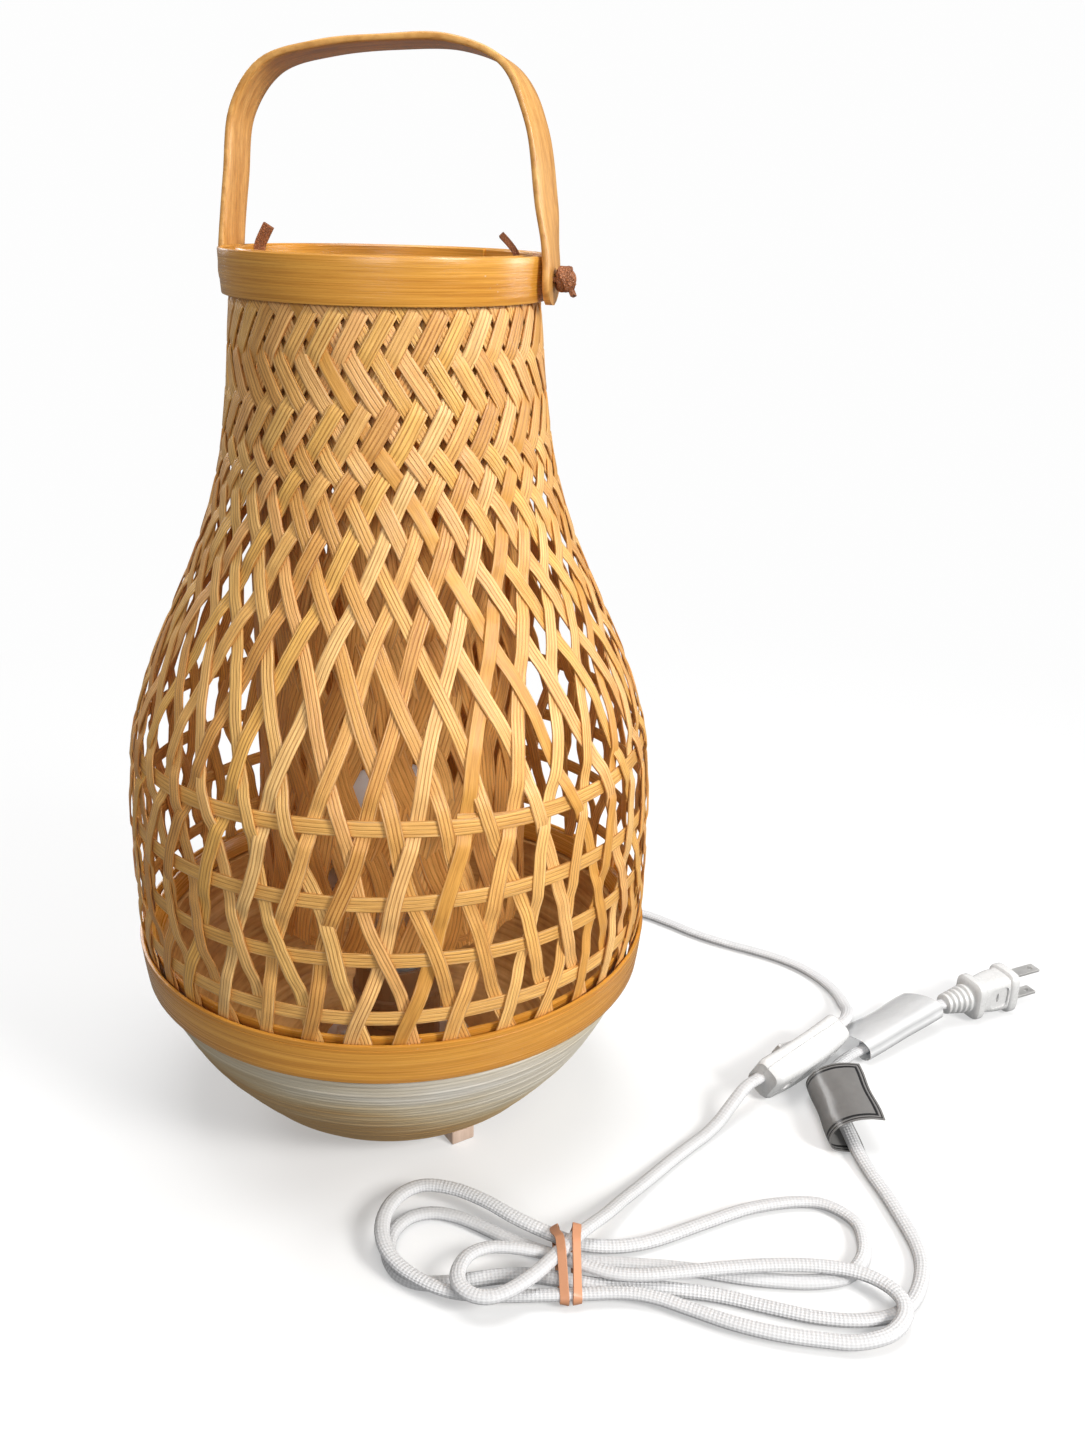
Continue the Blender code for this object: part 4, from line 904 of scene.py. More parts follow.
def hoop(number, top, start, kink):
    """A strip woven round the shade, its ends lapped."""
    shape = Shape()
    middle = top - HOOP_WIDTH / 2
    sweep = 2 * pi + 0.30
    turn = VIEW_ANGLE + start + np.linspace(0, sweep, 420)
    gone = turn - turn[0]
    a, b = rng.uniform(0, 2 * pi, 2)
    height = middle + 0.0005 * np.sin(2 * turn + a) + 0.0003 * np.sin(5 * turn + b)
    height += kink * np.exp(-((gone / 0.10) ** 2))
    out = -0.00032 + 0.00064 * smooth_step((gone - (2 * pi - 0.25)) / 0.30)
    normals = outward(turn, height)
    line = polar(shade_radius(height) + out, turn, height)
    ribbon(shape, line, normals, HOOP_WIDTH / 2, 0.00052, 0.11 * number + 0.2)
    piece(f"woven_hoop_{number}", shape, "hoop", f"hoop_{number}")


for number, row in enumerate(HOOPS, 1):
    hoop(number, *row)


def sleeve():
    """The dark inner cage: a close, uneven lattice of thin strips."""
    shape = Shape()
    count = 28
    height = np.arange(SLEEVE_TOP, SLEEVE_FOOT, -0.004)
    share = (height - SLEEVE_FOOT) / (SLEEVE_TOP - SLEEVE_FOOT)
    radius = SLEEVE_RADIUS_FOOT + (SLEEVE_RADIUS_TOP - SLEEVE_RADIUS_FOOT) * share
    for sign in (1, -1):
        for strand in range(count):
            a, b = rng.uniform(0, 2 * pi, 2)
            level = (SLEEVE_TOP - height) / 0.0215
            turn = 2 * pi / count * (strand + sign * level / 2) + rng.normal(0, 0.02)
            turn = turn + 0.03 * np.sin(height * 45 + a) + 0.02 * np.sin(height * 120 + b)
            out = sign * 0.00034 * np.cos(pi * level)
            line = polar(radius + out, turn, height)
            width = rng.uniform(0.0040, 0.0050)
            number = rng.uniform(0, 0.88)
            ribbon(shape, line, polar(1, turn, 0), width, 0.0006, number, start=strand * 0.4)
    turn = spin(180)
    for height, reach in ((0.0945, SLEEVE_RADIUS_FOOT), (0.3370, SLEEVE_RADIUS_TOP)):
        ribbon(shape, polar(reach, turn, height), polar(1, turn, 0), 0.0022, 0.0005, 0.3, ring=True)
    piece("sleeve_lattice", shape, "sleeve", "inner_sleeve")


sleeve()


def eased(low, high, radius_low, radius_high, thick, ease=0.0005, groove=0.0):
    """A band's (radius, height) section with rounded edges, and a fine groove this far below its top."""

    def outer(height):
        return radius_low + (radius_high - radius_low) * (height - low) / (high - low)

    bit = ease * 0.3
    points = [
        (outer(low) - ease, low), (outer(low + bit) - bit, low + bit), (outer(low + ease), low + ease)
    ]
    steps = 6
    body_top = high - ease if not groove else high - groove
    for step in range(1, steps):
        height = low + ease + (body_top - low - ease) * step / steps
        points.append((outer(height) + 0.00012 * sin(pi * step / steps), height))
    if groove:
        for drop, depth in ((0.00030, 0), (0.00012, 0.00022), (-0.00012, 0.00022), (-0.00030, 0)):
            height = high - groove - drop
            points.append((outer(height) - depth, height))
    top, foot = outer(high), outer(low)
    points += [(outer(high - ease), high - ease), (top - bit, high - bit), (top - ease, high)]
    points += [(top - thick + ease, high), (top - thick, high - ease)]
    return points + [(foot - thick, low + ease), (foot - thick + ease, low)]


def band(name, look, *turned):
    piece(name, lathe(Shape(), *turned), look, f"{name}_band")


def bands():
    """The rim's two bands, with lapping ends, and the two round the shade's foot."""
    rim = eased(RIM_BOTTOM, RIM_TOP, RIM_RADIUS_BOTTOM, RIM_RADIUS_TOP, BAND_THICK - 0.0002)
    band("rim_outer", "rim", rim, 240, radians(118), 2 * pi + 0.20, 0.0017)
    inside = NECK_RADIUS - WEAVE_THICK - 0.0020
    inner = eased(RIM_BOTTOM - 0.0016, RIM_TOP, inside, inside, BAND_THICK - 0.0003)
    band("rim_inner", "rim", inner, 240, radians(64), 2 * pi + 0.16, 0.0016)
    radii = LOWER_RADIUS_BOTTOM, LOWER_RADIUS_TOP
    band("lower_outer", "lower", eased(LOWER_BOTTOM, LOWER_TOP, *radii, BAND_THICK, 0.0006, 0.0021), 300)
    low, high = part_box("lower_inner_band")
    foot = high.x - 0.0002
    band("lower_inner", "lower", eased(low.z, high.z, foot - 0.0018, foot, 0.0020), 240)


bands()


# ---------------- bowl and feet


def coiled(run, pitch, depth, outwards):
    """The profile run with a small round ridge for each turn of the coil."""
    line = np.array([(point.x, point.z) for point in run])
    gone = distances(line)
    turns = max(1, round(gone[-1] / pitch))
    places = np.linspace(0, gone[-1], turns * 6 + 1)
    radius = np.interp(places, gone, line[:, 0])
    height = np.interp(places, gone, line[:, 1])
    way = unit(np.stack([np.gradient(radius), np.gradient(height)], axis=1))
    normal = np.stack([way[:, 1], -way[:, 0]], axis=1) * outwards
    phase = np.arange(len(places)) % 6 / 6
    uneven = 0.6 + 0.4 * np.sin(np.arange(len(places)) // 6 * 2.4)
    ridge = depth * (np.sin(pi * phase) ** 0.6) * uneven
    return np.stack([radius, height], axis=1) + normal * (ridge - depth)[:, None]


def bowl():
    """A coiled shell, washed outside and natural inside."""
    segments = 200
    outside = smooth_run([(radius, 0, height) for height, radius in BOWL_OUTLINE], 8)
    outer = coiled(outside, 0.0021, 0.00032, 1)
    floor = [(radius, 0, BOWL_OUTLINE[0][0] + 0.0001) for radius in (0.0006, 0.02, 0.04, 0.0555)]
    under = coiled(smooth_run(floor, 6), 0.0035, 0.0002, 1)
    inner = [(0.0006, 0, BOWL_FLOOR), (0.03, 0, BOWL_FLOOR), (0.0545, 0, BOWL_FLOOR + 0.0004)]
    inner += [(radius - BOWL_WALL, 0, height + BOWL_WALL / 3) for height, radius in BOWL_OUTLINE[3:-1]]
    inner.append((BOWL_OUTLINE[-1][1] - BOWL_WALL, 0, BOWL_OUTLINE[-1][0]))
    lining = coiled(smooth_run(inner, 8), 0.0030, 0.00035, -1)
    shell = np.concatenate([under, outer])
    shape = disc(Shape(), [*shell, *lining[::-1]], segments)
    thing = piece("coiled_bowl", shape, "washed", "bowl", sharp=60)
    thing.data.materials.append(LOOKS["coil"])
    # the inside and the top edge keep the natural colour; the last face but one closes the underside
    washed = (len(shell) - 1) * segments
    inside = [0] * washed + [1] * (len(thing.data.polygons) - washed)
    inside[-2] = 0
    thing.data.polygons.foreach_set("material_index", inside)


bowl()


def feet():
    """Three wooden pads set round the bowl's underside."""
    for number in range(3):
        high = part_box(f"foot_{number + 1}")[1].z
        turn = radians(-43) + 2 * pi * number / 3
        builder = bmesh.new()
        bmesh.ops.create_cube(builder, size=1)
        bmesh.ops.scale(builder, vec=(FOOT_LENGTH, FOOT_WIDTH, high), verts=builder.verts)
        bmesh.ops.bevel(
            builder, geom=builder.edges[:], offset=0.0008, segments=3, profile=0.55, affect="EDGES"
        )
        for point in builder.verts:
            point.co.z += 0.00015 * cos(point.co.x * 170) * (1 if point.co.z < 0 else 0)
        out = Matrix.Translation((FOOT_REACH - FOOT_LENGTH / 2, 0, high / 2))
        builder.transform(Matrix.Rotation(turn, 4, "Z") @ out)
        name = f"foot_pad_{number + 1}"
        mesh = bpy.data.meshes.new(name)
        builder.to_mesh(mesh)
        builder.free()
        declared(name, mesh, "wood", f"foot_{number + 1}", sharp=30)


feet()

# ---------------- handle and leather ties

LEAN = Matrix.Translation((0, 0, PIVOT_HEIGHT)) @ Matrix.Rotation(-HANDLE_LEAN, 4, "X")
LEAN = LEAN @ Matrix.Translation((0, 0, -PIVOT_HEIGHT))


def handle():
    """A strip of cane bent into a bail, with round leg ends."""
    outer = evenly(smooth_run([(x, 0, z) for x, z in HANDLE_OUTLINE], 12), 0.0016)
    way = tangents(outer)
    inward = np.stack([-way[:, 2], np.zeros(len(way)), way[:, 0]], axis=1)
    gone = distances(outer)
    share = gone / gone[-1]
    # the right leg turns its face a little to the front between the rim and the bend
    turn = radians(8) * (outer[:, 0] > 0) * smooth_step((outer[:, 2] - 0.357) / 0.016)
    turn = turn * smooth_step((0.424 - outer[:, 2]) / 0.020)
    facing = polar(inward[:, 0], -turn, inward[:, 2])
    thick = HANDLE_THICK * (1 + 0.06 * np.sin(share * 21) + 0.04 * np.sin(share * 47))
    line = outer + inward * (HANDLE_THICK / 2)
    below = np.maximum(0, PIVOT_HEIGHT - outer[:, 2])
    half = HANDLE_WIDTH / 2
    reach = np.sqrt(np.maximum(half**2 - below**2, (half * 0.22) ** 2))
    section = (
        (-1.00, -0.20), (-1.00, 0.20), (-0.975, 0.40), (-0.93, 0.50), (-0.60, 0.51), (-0.20, 0.52),
        (0.20, 0.52), (0.60, 0.51), (0.93, 0.50), (0.975, 0.40), (1.00, 0.20), (1.00, -0.20),
        (0.975, -0.40), (0.93, -0.50), (0.50, -0.50), (0.00, -0.50), (-0.50, -0.50), (-0.93, -0.50),
        (-0.975, -0.40),
    )
    shape = ribbon(Shape(), line, facing, reach, thick, 0.5, section=section)
    thing = piece("bail_strip", shape, "handle", "handle", body="bail")
    thing.data.transform(LEAN)


handle()


def strap(shape, points, normals, half_width, thick):
    """A soft strip through given points, its face turned by the normals at them."""
    steps = 8
    line = evenly(smooth_run(points, steps), 0.0005)
    faces = array(smooth_run(normals, steps))
    places = np.linspace(0, len(faces) - 1, len(line))
    faces = np.stack(
        [np.interp(places, np.arange(len(faces)), faces[:, axis]) for axis in range(3)], axis=1
    )
    ribbon(shape, line, faces, half_width, thick)


def knot(shape, middle, sign, size, turns):
    """Loops of the strip drawn tight round each other."""
    for tilt, stretch in turns:
        points = []
        normals = []
        for step in range(48):
            turn = 2 * pi * step / 48
            out = Vector((0.35 * sin(2 * turn), cos(turn), sin(turn)))
            out = Matrix.Rotation(tilt, 3, "X") @ Matrix.Rotation(0.5 * sign, 3, "Z") @ out
            points.append(middle + Vector((out.x * size[0], out.y * size[1], out.z * size[2])) * stretch)
            normals.append(out)
        ribbon(shape, array(points), array(normals), 0.0021, 0.0015, ring=True)


def tie(sign, word, tail, tail_width, face_way):
    """A leather strip through the rim and the handle's leg, knotted inside with its long end standing up.
    Outside, the right one is knotted and the left one lies flat."""
    shape = Shape()
    core = [
        (0.0, -0.0034), (0.0020, -0.0030), (0.0031, -0.0012), (0.0032, 0.0012), (0.0020, 0.0030),
        (0.0, 0.0034),
    ]
    sideways = Matrix.Rotation(pi / 2, 4, "Y")
    face = 0.0638
    if sign > 0:
        middle = Vector((KNOT_OUT, 0, PIVOT_HEIGHT + 0.0002))
        knot(shape, middle, sign, (0.0030, 0.0033, 0.0037), ((0.0, 1.0), (1.15, 0.92), (2.2, 0.86)))
        disc(shape, core, 24, Matrix.Translation(middle) @ sideways)
        ends = ((0.0, 0.001, 0.0), (0.0020, 0.0, -0.0030), (0.0034, -0.0006, -0.0056))
        normals = [(1, 0, 0.2), (1, 0, 0.5), (1, 0, 0.3)]
        strap(shape, [middle + Vector(end) for end in ends], normals, 0.0019, 0.0015)
        face = KNOT_OUT - 0.0020
    else:
        flat = ((0.0646, 0.0030, 0.0030), (0.0648, 0.0, 0.0004), (0.0646, -0.0030, -0.0034))
        points = [(-x, y, PIVOT_HEIGHT + z) for x, y, z in flat]
        strap(shape, points, [(-1, 0, 0)] * 3, 0.0026, 0.0013)
    inside = KNOT_IN + 0.0026
    points = [(sign * x, 0, PIVOT_HEIGHT) for x in (face, (face + inside) / 2, inside)]
    strap(shape, points, [(0, 0, 1)] * 3, 0.0022, 0.0017)
    inner = Vector((sign * KNOT_IN, 0, PIVOT_HEIGHT + 0.0008))
    knot(shape, inner, sign, (0.0024, 0.0032, 0.0026), ((0.3, 1.0), (1.5, 0.9)))
    disc(shape, [(r * 0.75, z * 0.7) for r, z in core], 24, Matrix.Translation(inner) @ sideways)
    points = [(sign * x, y, PIVOT_HEIGHT + z) for x, y, z in tail]
    strap(shape, points, [face_way] * len(points), tail_width, 0.0021)
    piece(f"leather_{word}", shape, "leather", f"leather_tie_{word}", sharp=50)


tie(
    1, "right",
    (
        (0.0506, 0.0, 0.0010), (0.0502, 0.0, 0.0045), (0.0492, 0.0002, 0.0082), (0.0466, 0.0004, 0.0114),
        (0.0436, 0.0006, 0.0142),
    ),
    0.0015, (0.9, 0.3, 0.35),
)
tie(
    -1, "left",
    (
        (0.0506, 0.0, 0.0010), (0.0504, 0.0, 0.0045), (0.0497, 0.0, 0.0082), (0.0478, 0.0, 0.0118),
        (0.0460, 0.0, 0.0148),
    ),
    0.0021, (0.3, -0.95, 0.25),
)

# ---------------- switch


def switch_matrix():
    """From the switch's own axes to the lamp's."""
    place = Matrix((SWITCH_ALONG, SWITCH_WIDE, SWITCH_OUT)).transposed().to_4x4()
    place.translation = SWITCH_MIDDLE
    return place


SWITCH_FRAME = switch_matrix()


def round_top(half, top, ease, steps):
    """A section's top from right to left, its two corners rounded."""
    points = []
    for middle, start in ((half - ease, 0), (-half + ease, pi / 2)):
        for turn in np.linspace(start, start + pi / 2, steps):
            points.append((middle + ease * cos(turn), top - ease + ease * sin(turn)))
    return points


def lengthwise(matrix, half, steps, drop, ease, section):
    """A body of sections from end to end of X, pulled in by up to the drop within the ease of an end."""
    rows = []
    for step in range(steps + 1):
        edge = min(step, steps - step) / steps * 2 * half
        pulled = drop * (1 - min(1, edge / ease)) ** 2
        x = -half + 2 * half * step / steps
        rows.append([tuple(matrix @ Vector((x, y, z))) for y, z in section(abs(x) / half, pulled)])
    return Shape().loft(rows)


def case_half(depth_end, depth_middle, sign):
    """One half of the switch's case, from the seam outwards, its ends rounded over."""

    def section(share, pulled):
        bulge = 1 - share**2
        width = 0.0086 + 0.0012 * bulge - pulled
        depth = depth_end + (depth_middle - depth_end) * bulge - pulled
        low = sign * 0.00004
        points = [(width - 0.0003, low), (width, low + sign * 0.0003)]
        points += [(u, sign * v) for u, v in round_top(width, depth, 0.0034, 9)]
        return points + [(-width, low + sign * 0.0003), (-width + 0.0003, low)]

    return lengthwise(SWITCH_FRAME, SWITCH_HALF, 40, 0.0011, 0.0030, section)


def rocker():
    """The rocker, dished along its top and tipped to one side."""

    def section(share, pulled):
        top = 0.0034 + 0.0014 * share**2 - pulled
        low = -0.0010 * (1 - share**2) - 0.0001
        half = 0.0038 - pulled
        return [(half, low), *round_top(half, top, 0.0006, 5), (-half, low)]

    axle = SWITCH_FRAME @ Matrix.Translation((0, 0, ROCKER_AXLE)) @ Matrix.Rotation(ROCKER_TILT, 4, "Y")
    return lengthwise(axle, ROCKER_HALF, 28, 0.0005, 0.0012, section)


def cut_by(thing, shape, name):
    """Cuts the Shape's solid out of the thing."""
    tool = placed(name, shape.mesh(name))
    cut = thing.modifiers.new(name, "BOOLEAN")
    cut.operation = "DIFFERENCE"
    cut.solver = "EXACT"
    cut.object = tool
    with bpy.context.temp_override(object=thing, active_object=thing, selected_objects=[thing]):
        bpy.ops.object.modifier_apply(modifier=cut.name)
    bpy.data.objects.remove(tool, do_unlink=True)
    thing.data.shade_smooth()
    thing.data.set_sharp_from_angle(angle=radians(32))


def box_shape(matrix, half_x, half_y, low, high, power=8.0, count=40):
    """A rounded-corner block standing along the matrix's Z."""
    ring = rounded(half_x, half_y, power, count)
    rows = [[tuple(matrix @ Vector((x, y, z))) for x, y in ring] for z in (low, high)]
    return Shape().loft(rows)


SCREW_PLACES = (0.0185, -0.0185)
ROCKER_HALF = 0.0100
ROCKER_AXLE = 0.0016
ROCKER_TILT = radians(6)


def switch():
    """The case's two halves, with wells for the screws and the rocker, and the rocker itself."""
    base = piece("case_base", case_half(0.0086, 0.0104, -1), "plastic", "switch_base", sharp=32)
    for x in SCREW_PLACES:
        share = abs(x) / SWITCH_HALF
        depth = 0.0086 + 0.0018 * (1 - share**2)
        place = SWITCH_FRAME @ Matrix.Translation((x, 0, 0))
        well = box_shape(place, 0.0024, 0.0024, -depth - 0.002, -depth + 0.0048, 2.0, 24)
        cut_by(base, well, "screw_well")
    cover = piece("case_cover", case_half(0.0054, 0.0044, 1), "plastic", "switch_cover", sharp=32)
    cut_by(cover, box_shape(SWITCH_FRAME, ROCKER_HALF + 0.0007, 0.0043, -0.001, 0.009), "rocker_well")
    piece("rocker_cap", rocker(), "plastic", "switch_rocker", body="rocker", sharp=32)


switch()

# ---------------- plug

# (share of the pitch, how far in) along one rib of the plug's strain relief
RIB = (
    (0.04, 0.0003), (0.12, 0.0), (0.50, -0.0002), (0.58, 0.0001), (0.64, 0.0009), (0.92, 0.0009),
    (0.98, 0.0006),
)

# (place along the plug, half width, half height), from the collar's rear and from the front face
COLLAR = (
    (0.0000, 0.0070, 0.0080), (0.0004, 0.0079, 0.0090), (0.0012, 0.0087, 0.0099), (0.0022, 0.0088, 0.0100),
    (0.0042, 0.0088, 0.0100), (0.0050, 0.0084, 0.0096), (0.0058, 0.0076, 0.0087), (0.0068, 0.0071, 0.0081),
    (0.0080, 0.0070, 0.0080), (0.0092, 0.0071, 0.0081), (0.0112, 0.0074, 0.0085), (0.0130, 0.0076, 0.0088),
    (0.0150, 0.0077, 0.0091),
)
FLANGE = (
    (-0.0062, 0.0078, 0.0093), (-0.0052, 0.0079, 0.0095), (-0.0048, 0.0086, 0.0104),
    (-0.0043, 0.0089, 0.0109), (-0.0036, 0.0090, 0.0110), (-0.0014, 0.0090, 0.0110),
    (-0.0006, 0.0089, 0.0109), (-0.0001, 0.0085, 0.0105), (0.0000, 0.0080, 0.0100),
)


def plug():
    """Ribbed strain relief, collar, waisted body with grip recesses, and flange."""
    profile = [(0.0001, -PLUG_LENGTH), (0.0042, -PLUG_LENGTH)]
    ribs = 5
    length = 0.0142
    for rib in range(ribs):
        low = -PLUG_LENGTH + length * rib / ribs
        pitch = length / ribs
        radius = 0.0049 + 0.0026 * rib / ribs
        profile += [(radius - drop, low + pitch * share) for share, drop in RIB]
    profile += [(0.0070, -PLUG_LENGTH + length), (0.0001, -PLUG_LENGTH + length)]
    turn = PLUG_FRAME @ Matrix.Rotation(pi / 2, 4, "Y")
    piece("plug_sleeve", disc(Shape(), profile, 48, turn), "plastic", "plug_relief", sharp=35)

    collar = -PLUG_LENGTH + length + 0.0003
    stations = [(collar + x, *half) for x, *half in COLLAR]
    stations += FLANGE
    rows = []
    for x, half_width, half_height in stations:
        ring = rounded(half_width, half_height, 4.2, 56)
        rows.append([tuple(PLUG_FRAME @ Vector((x, y, z))) for y, z in ring])
    body = piece("plug_shell", Shape().loft(rows), "plastic", "plug_body", sharp=32)
    for side in (1, -1):
        sideways = Matrix.Rotation(-side * pi / 2, 4, "X")
        face = PLUG_FRAME @ Matrix.Translation((-0.0112, side * 0.0078, 0)) @ sideways
        cut_by(body, box_shape(face, 0.0052, 0.0056, -0.0011, 0.0030, 5.0), "grip_recess")
        slot = PLUG_FRAME @ Matrix.Translation((-0.0122, side * 0.0066, 0)) @ sideways
        cut_by(body, box_shape(slot, 0.0007, 0.0026, -0.0016, 0.0030, 3.0, 20), "grip_slot")


plug()


def relief():
    """The sleeve where the cord leaves the bowl: a flange, then a ribbed cone that follows the cord."""
    shape = Shape()
    place = Matrix.Translation(GLAND_FACE) @ GLAND_OUT.to_track_quat("Z", "Y").to_matrix().to_4x4()
    flange = (
        (0.0001, -0.0060), (0.0041, -0.0060), (0.0042, 0.0004), (0.0062, 0.0005), (0.0068, 0.0010),
        (0.0068, 0.0021), (0.0062, 0.0028), (0.0050, 0.0032), (0.0001, 0.0033),
    )
    disc(shape, flange, 48, place)
    line = CORD_LINE[: int(0.0165 / CORD_STEP)]
    start = array(GLAND_FACE + GLAND_OUT * reach for reach in (0.0030, 0.0042))
    fine = evenly([*start, *line], 0.0005)
    gone = distances(fine)
    thick, thin = 0.0047, 0.0035
    radius = thick - (thick - thin) * gone / gone[-1]
    grooved = (np.sin(gone / 0.0026 * 2 * pi) > 0.55) & (gone > 0.002) & (gone < gone[-1] - 0.001)
    radius = (radius - 0.0005 * grooved)[:, None]
    turns = spin(32)
    shape.loft(swept(fine, *crosswise(fine), radius * np.cos(turns), radius * np.sin(turns)), None, gone)
    piece("gland_sleeve", shape, "plastic", "cord_gland", sharp=35)


relief()

# ---------------- rubber band and labels


def turning(first, second, third):
    """More than 0 where the path turns left at the second point."""
    one = (second[0] - first[0]) * (third[1] - first[1])
    return one - (second[1] - first[1]) * (third[0] - first[0])


def hull(points):
    """The convex outline of flat points, counterclockwise."""
    points = sorted(set(points))
    sides = []
    for run in (points, points[::-1]):
        side = []
        for point in run:
            while len(side) > 1 and turning(side[-2], side[-1], point) <= 0:
                side.pop()
            side.append(point)
        sides += side[:-1]
    return sides


def rubber():
    """Two flat turns pulled tight round the hank's strands, crossing once on top."""
    shape = Shape()
    waist = np.array([0.1060, -0.1040])
    along = np.array([0.957, 0.29])
    across = np.array([0.29, -0.957])
    for shift, lean, turn_end in ((-0.0030, 0.05, 0.0012), (0.0028, -0.02, -0.0006)):
        offset = CORD_LINE[:, :2] - waist
        forward = offset @ along - shift
        sideways = offset @ across
        near = (np.abs(forward) < 0.0030) & (np.abs(sideways) < 0.0182)
        section = []
        for side, height in zip(sideways[near], CORD_LINE[near, 2]):
            for turn in spin(16):
                point = (side + 0.0036 * cos(turn), max(0.0007, height + 0.0028 * sin(turn)))
                section.append((round(point[0], 5), round(point[1], 5)))
        outline = [Vector((x, 0, z)) for x, z in hull(section)]
        ring = evenly([*outline, outline[0]], 0.0006)[:-1]
        for _ in range(3):
            ring = (np.roll(ring, 1, axis=0) + 2 * ring + np.roll(ring, -1, axis=0)) / 4
        ring[:, 2] = np.maximum(ring[:, 2], 0.0005)
        upper = smooth_step((ring[:, 2] - 0.004) / 0.006)
        slide = shift + lean * ring[:, 0] - turn_end * upper * smooth_step((-ring[:, 0] - 0.004) / 0.010)
        flat = waist + across[None, :] * ring[:, :1] + along[None, :] * slide[:, None]
        line = np.concatenate([flat, ring[:, 2:]], axis=1)
        middle = np.array([*waist, 0.006])
        ribbon(shape, line, line - middle, 0.0017, 0.0008, ring=True)
    piece("hank_band", shape, "rubber", "rubber_band")


rubber()


def film(name, route, start, end, look, node):
    """A thin film: an outline in the plane across the line from start to end, carried along it."""
    thick = 0.0003
    start, end = Vector(start), Vector(end)
    way = (end - start).normalized()
    side = way.cross(UP).normalized()
    rise = side.cross(way)
    run = evenly(smooth_run([(x, 0, z) for x, z in route], 8), 0.0006)
    out = tangents(run)
    normal = np.stack([-out[:, 2], np.zeros(len(out)), out[:, 0]], axis=1)
    outline = np.concatenate([run + normal * thick / 2, (run - normal * thick / 2)[::-1]])
    count = len(run)
    across = np.concatenate([np.linspace(0, 1, count), np.linspace(1, 0, count), [0]])
    rows = []
    steps = 24
    for step in range(steps + 1):
        share = step / steps
        swell = 1 + 0.03 * sin(share * 9)
        place = start.lerp(end, share)
        rows.append([tuple(place + side * (x * swell) + rise * z) for x, _, z in outline])
    shape = Shape().loft(rows, across, np.linspace(0, 1, steps + 1))
    piece(name, shape, look, node, sharp=60)


film(
    "rating_wrap",
    (
        (0.0128, 0.0114), (0.0060, 0.0122), (-0.0010, 0.0112), (-0.0072, 0.0078), (-0.0100, 0.0022),
        (-0.0080, -0.0028), (-0.0020, -0.0044), (0.0060, -0.0045),
    ),
    (0.2048, -0.0020, 0.0056), (0.1922, 0.0350, 0.0058),
    "grey_film", "rating_label",
)
film(
    "film_flag",
    (
        (-0.0185, -0.0010), (-0.0120, 0.0022), (-0.0050, 0.0046), (0.0008, 0.0050), (0.0044, 0.0028),
        (0.0046, -0.0018), (0.0010, -0.0044), (-0.0030, -0.0036),
    ),
    (0.2062, 0.0668, 0.0056), (0.2388, 0.1068, 0.0098),
    "clear_film", "film_label",
)


def film_sleeve():
    """The flag's tube, drawn close round the cord."""
    gone = distances(CORD_LINE)
    start, end = gone[-1] - 0.062, gone[-1] - 0.0135
    fine = evenly(CORD_LINE[(gone > start) & (gone < end)], 0.0012)
    side, rise = crosswise(fine)
    along = distances(fine)
    turns = spin(28)
    crease = 1 + 0.05 * np.sin(along[:, None] / 0.0071 + 2 * turns[None, :]) * np.cos(3 * turns)[None, :]
    rings = []
    for grow in (0.0, 0.00025):
        reach = (0.0034 + grow) * crease
        rings.append(swept(fine, side, rise, reach * np.cos(turns) * 1.05, reach * np.sin(turns) * 0.85))
    rows = np.concatenate([rings[1], rings[0][::-1]])
    shape = Shape().loft(rows, None, distances(rows[:, 0]), ring=True)
    piece("film_sleeve", shape, "clear_sleeve")


film_sleeve()

# ---------------- lamp holder and bulb


def bulb():
    """The opal globe and the tapered body under it."""
    body = [
        (0.0001, 0.0623), (0.0135, 0.0623), (0.0139, 0.0640), (0.0150, 0.0680), (0.0175, 0.0742),
        (0.0205, 0.0800), (0.0245, 0.0868), (0.0275, 0.0930), (0.0289, 0.0970), (0.0291, 0.0990),
        (0.0001, 0.0990),
    ]
    piece("bulb_shell", disc(Shape(), body, 80), "opal", "bulb_body", body="bulb", sharp=50)
    middle, radius = 0.1200, 0.0300
    cut = -0.0207
    points = [(0.0001, middle + cut)]
    for turn in np.linspace(atan2((radius**2 - cut**2) ** 0.5, cut), 0, 30):
        points.append((radius * sin(turn), middle + radius * cos(turn)))
    piece("bulb_diffuser", disc(Shape(), points, 96), "opal", "bulb_globe", body="bulb", sharp=50)


bulb()

METAL_NODES = ["mount_plate", "plate_screw_1", "plate_screw_2", "switch_screw_1", "switch_screw_2"]
METAL_NODES += ["plug_blade_1", "plug_blade_2", "bulb_cap"]
NODE_LOOKS = {
    "steel": METAL_NODES, "brass": ["bulb_contact", "centre_contact", "screw_shell"],
    "phenolic": ["holder_cap", "holder_skirt"], "opal": ["holder_insulator"], "textile": ["inner_lead"],
}
for look, names in NODE_LOOKS.items():
    for name in names:
        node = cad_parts[name]
        if not node.material_slots:
            node.data.materials.append(LOOKS[look])
        for holder in node.material_slots:
            holder.material = LOOKS[look]

# ---------------- floor and light


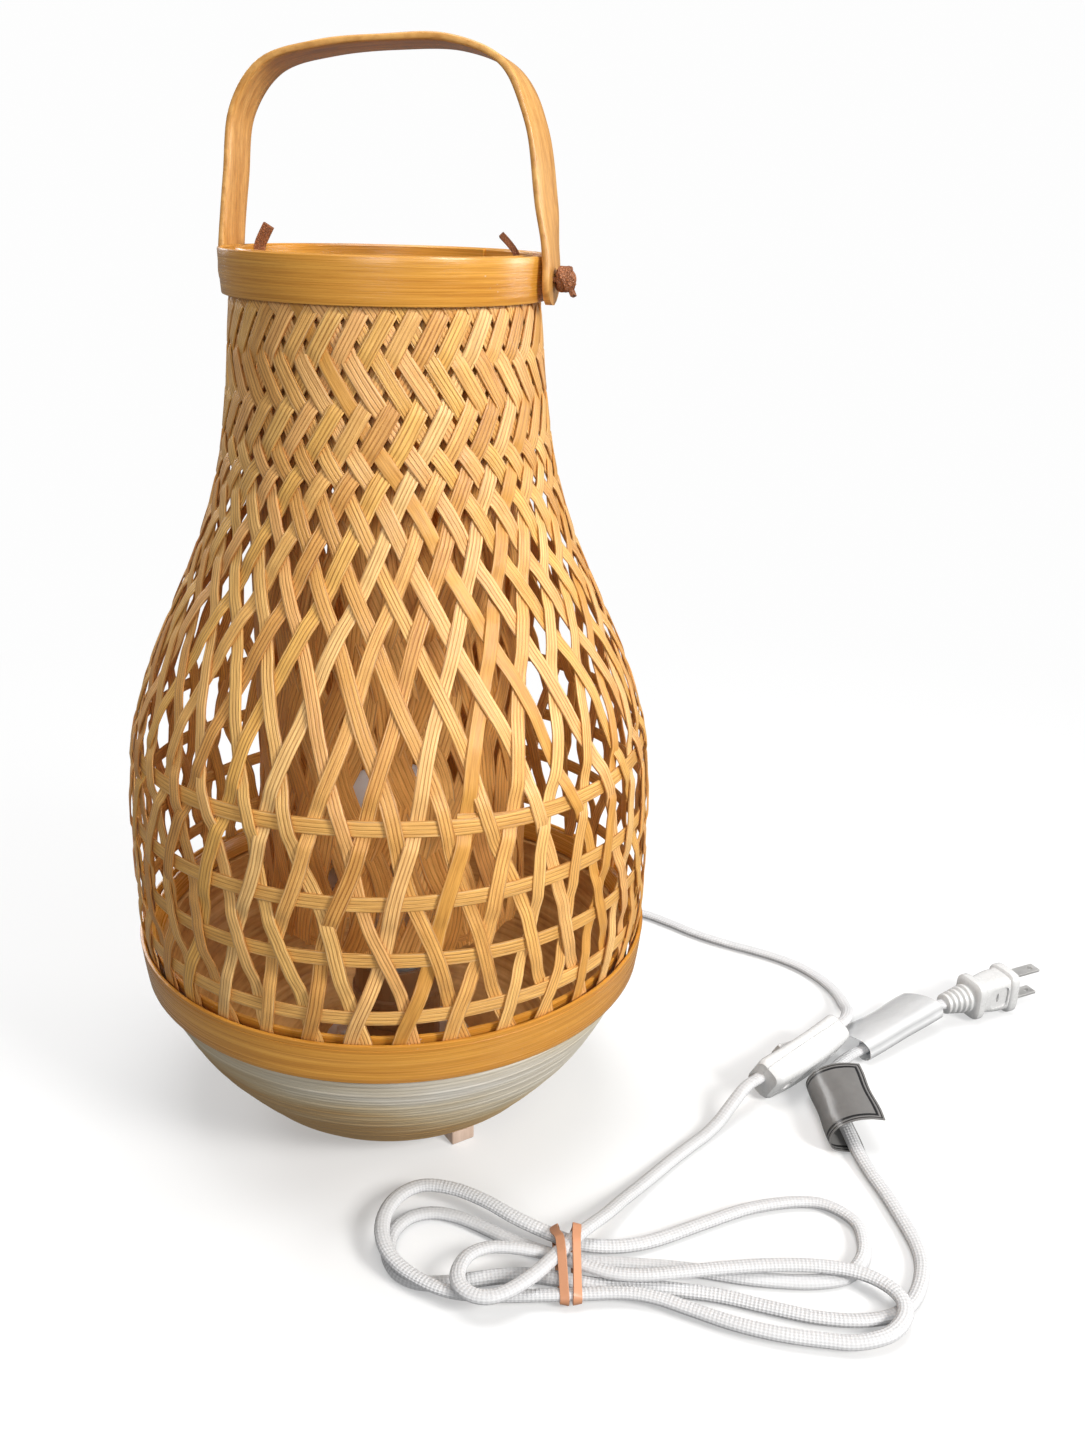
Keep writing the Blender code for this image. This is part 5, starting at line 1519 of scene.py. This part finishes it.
def floor():
    """A pale sweep: flat round the lamp, rising far out, and lit from within away from the lamp."""
    look = Look("pale_floor", 0.9)
    look.colour((0.90, 0.90, 0.90))
    away = look.node(
        "ShaderNodeVectorMath", {0: look.place((1, 1, 1)), 1: (0.09, 0, 0)}, operation="DISTANCE"
    )
    share = look.ramp(
        look.times(away.outputs["Value"], 0.8), (0.10, 0.30), (0.20, 0.55), (0.40, 0.90), (0.60, 1.0)
    )
    glow = look.node("ShaderNodeEmission", {"Color": (0.985, 0.985, 0.985, 1)})
    both = look.node("ShaderNodeMixShader", {0: share, 1: look.shader.outputs[0], 2: glow.outputs[0]})
    look.link(both.outputs[0], look.tree.nodes["Material Output"].inputs["Surface"])
    sweep = [(0.001, 0), (1.0, 0), (3.0, 0)]
    sweep += [(3.0 + sin(turn), 1 - cos(turn)) for turn in np.linspace(0.1, pi / 2, 16)]
    sweep.append((4.0, 5.0))
    shape = Shape().loft(np.array([polar(radius, spin(96), height) for radius, height in sweep])[:, ::-1])
    del shape.faces[-2:]
    thing = placed("floor", shape.mesh("floor"))
    thing.data.shade_smooth()
    thing.data.materials.append(look.material)
    # the photograph's floor was dark enough to throw no light up into the bowl
    thing.visible_diffuse = False
    thing.visible_glossy = False


LIT_PLACE = (0.02, 0.0, 0.2)


def area_light(name, place, size, power, colour=(1, 1, 1)):
    """A square light that faces the lamp."""
    data = bpy.data.lights.new(name, "AREA")
    data.size = size
    data.energy = power
    data.color = colour
    thing = placed(name, data)
    thing.location = place
    thing.rotation_euler = (Vector(LIT_PLACE) - Vector(place)).to_track_quat("-Z", "Y").to_euler()


def light():
    """A white world and five soft lights, the key on the right as in the photograph."""
    world = bpy.data.worlds.new("studio")
    bpy.context.scene.world = world
    world.use_nodes = True
    background = world.node_tree.nodes["Background"]
    background.inputs["Color"].default_value = (1, 1, 1, 1)
    background.inputs["Strength"].default_value = 0.22
    area_light("key", (1.75, -0.75, 1.25), 0.6, 42, (1.0, 0.985, 0.96))
    area_light("side", (1.55, 0.95, 0.50), 0.45, 9)
    area_light("front", (0.55, -1.9, 0.95), 0.7, 13)
    area_light("back", (-1.6, 1.2, 0.95), 0.9, 13)
    area_light("top", (-0.1, 0.2, 2.2), 1.3, 27)


floor()
light()
bpy.context.scene.view_settings.view_transform = "Standard"
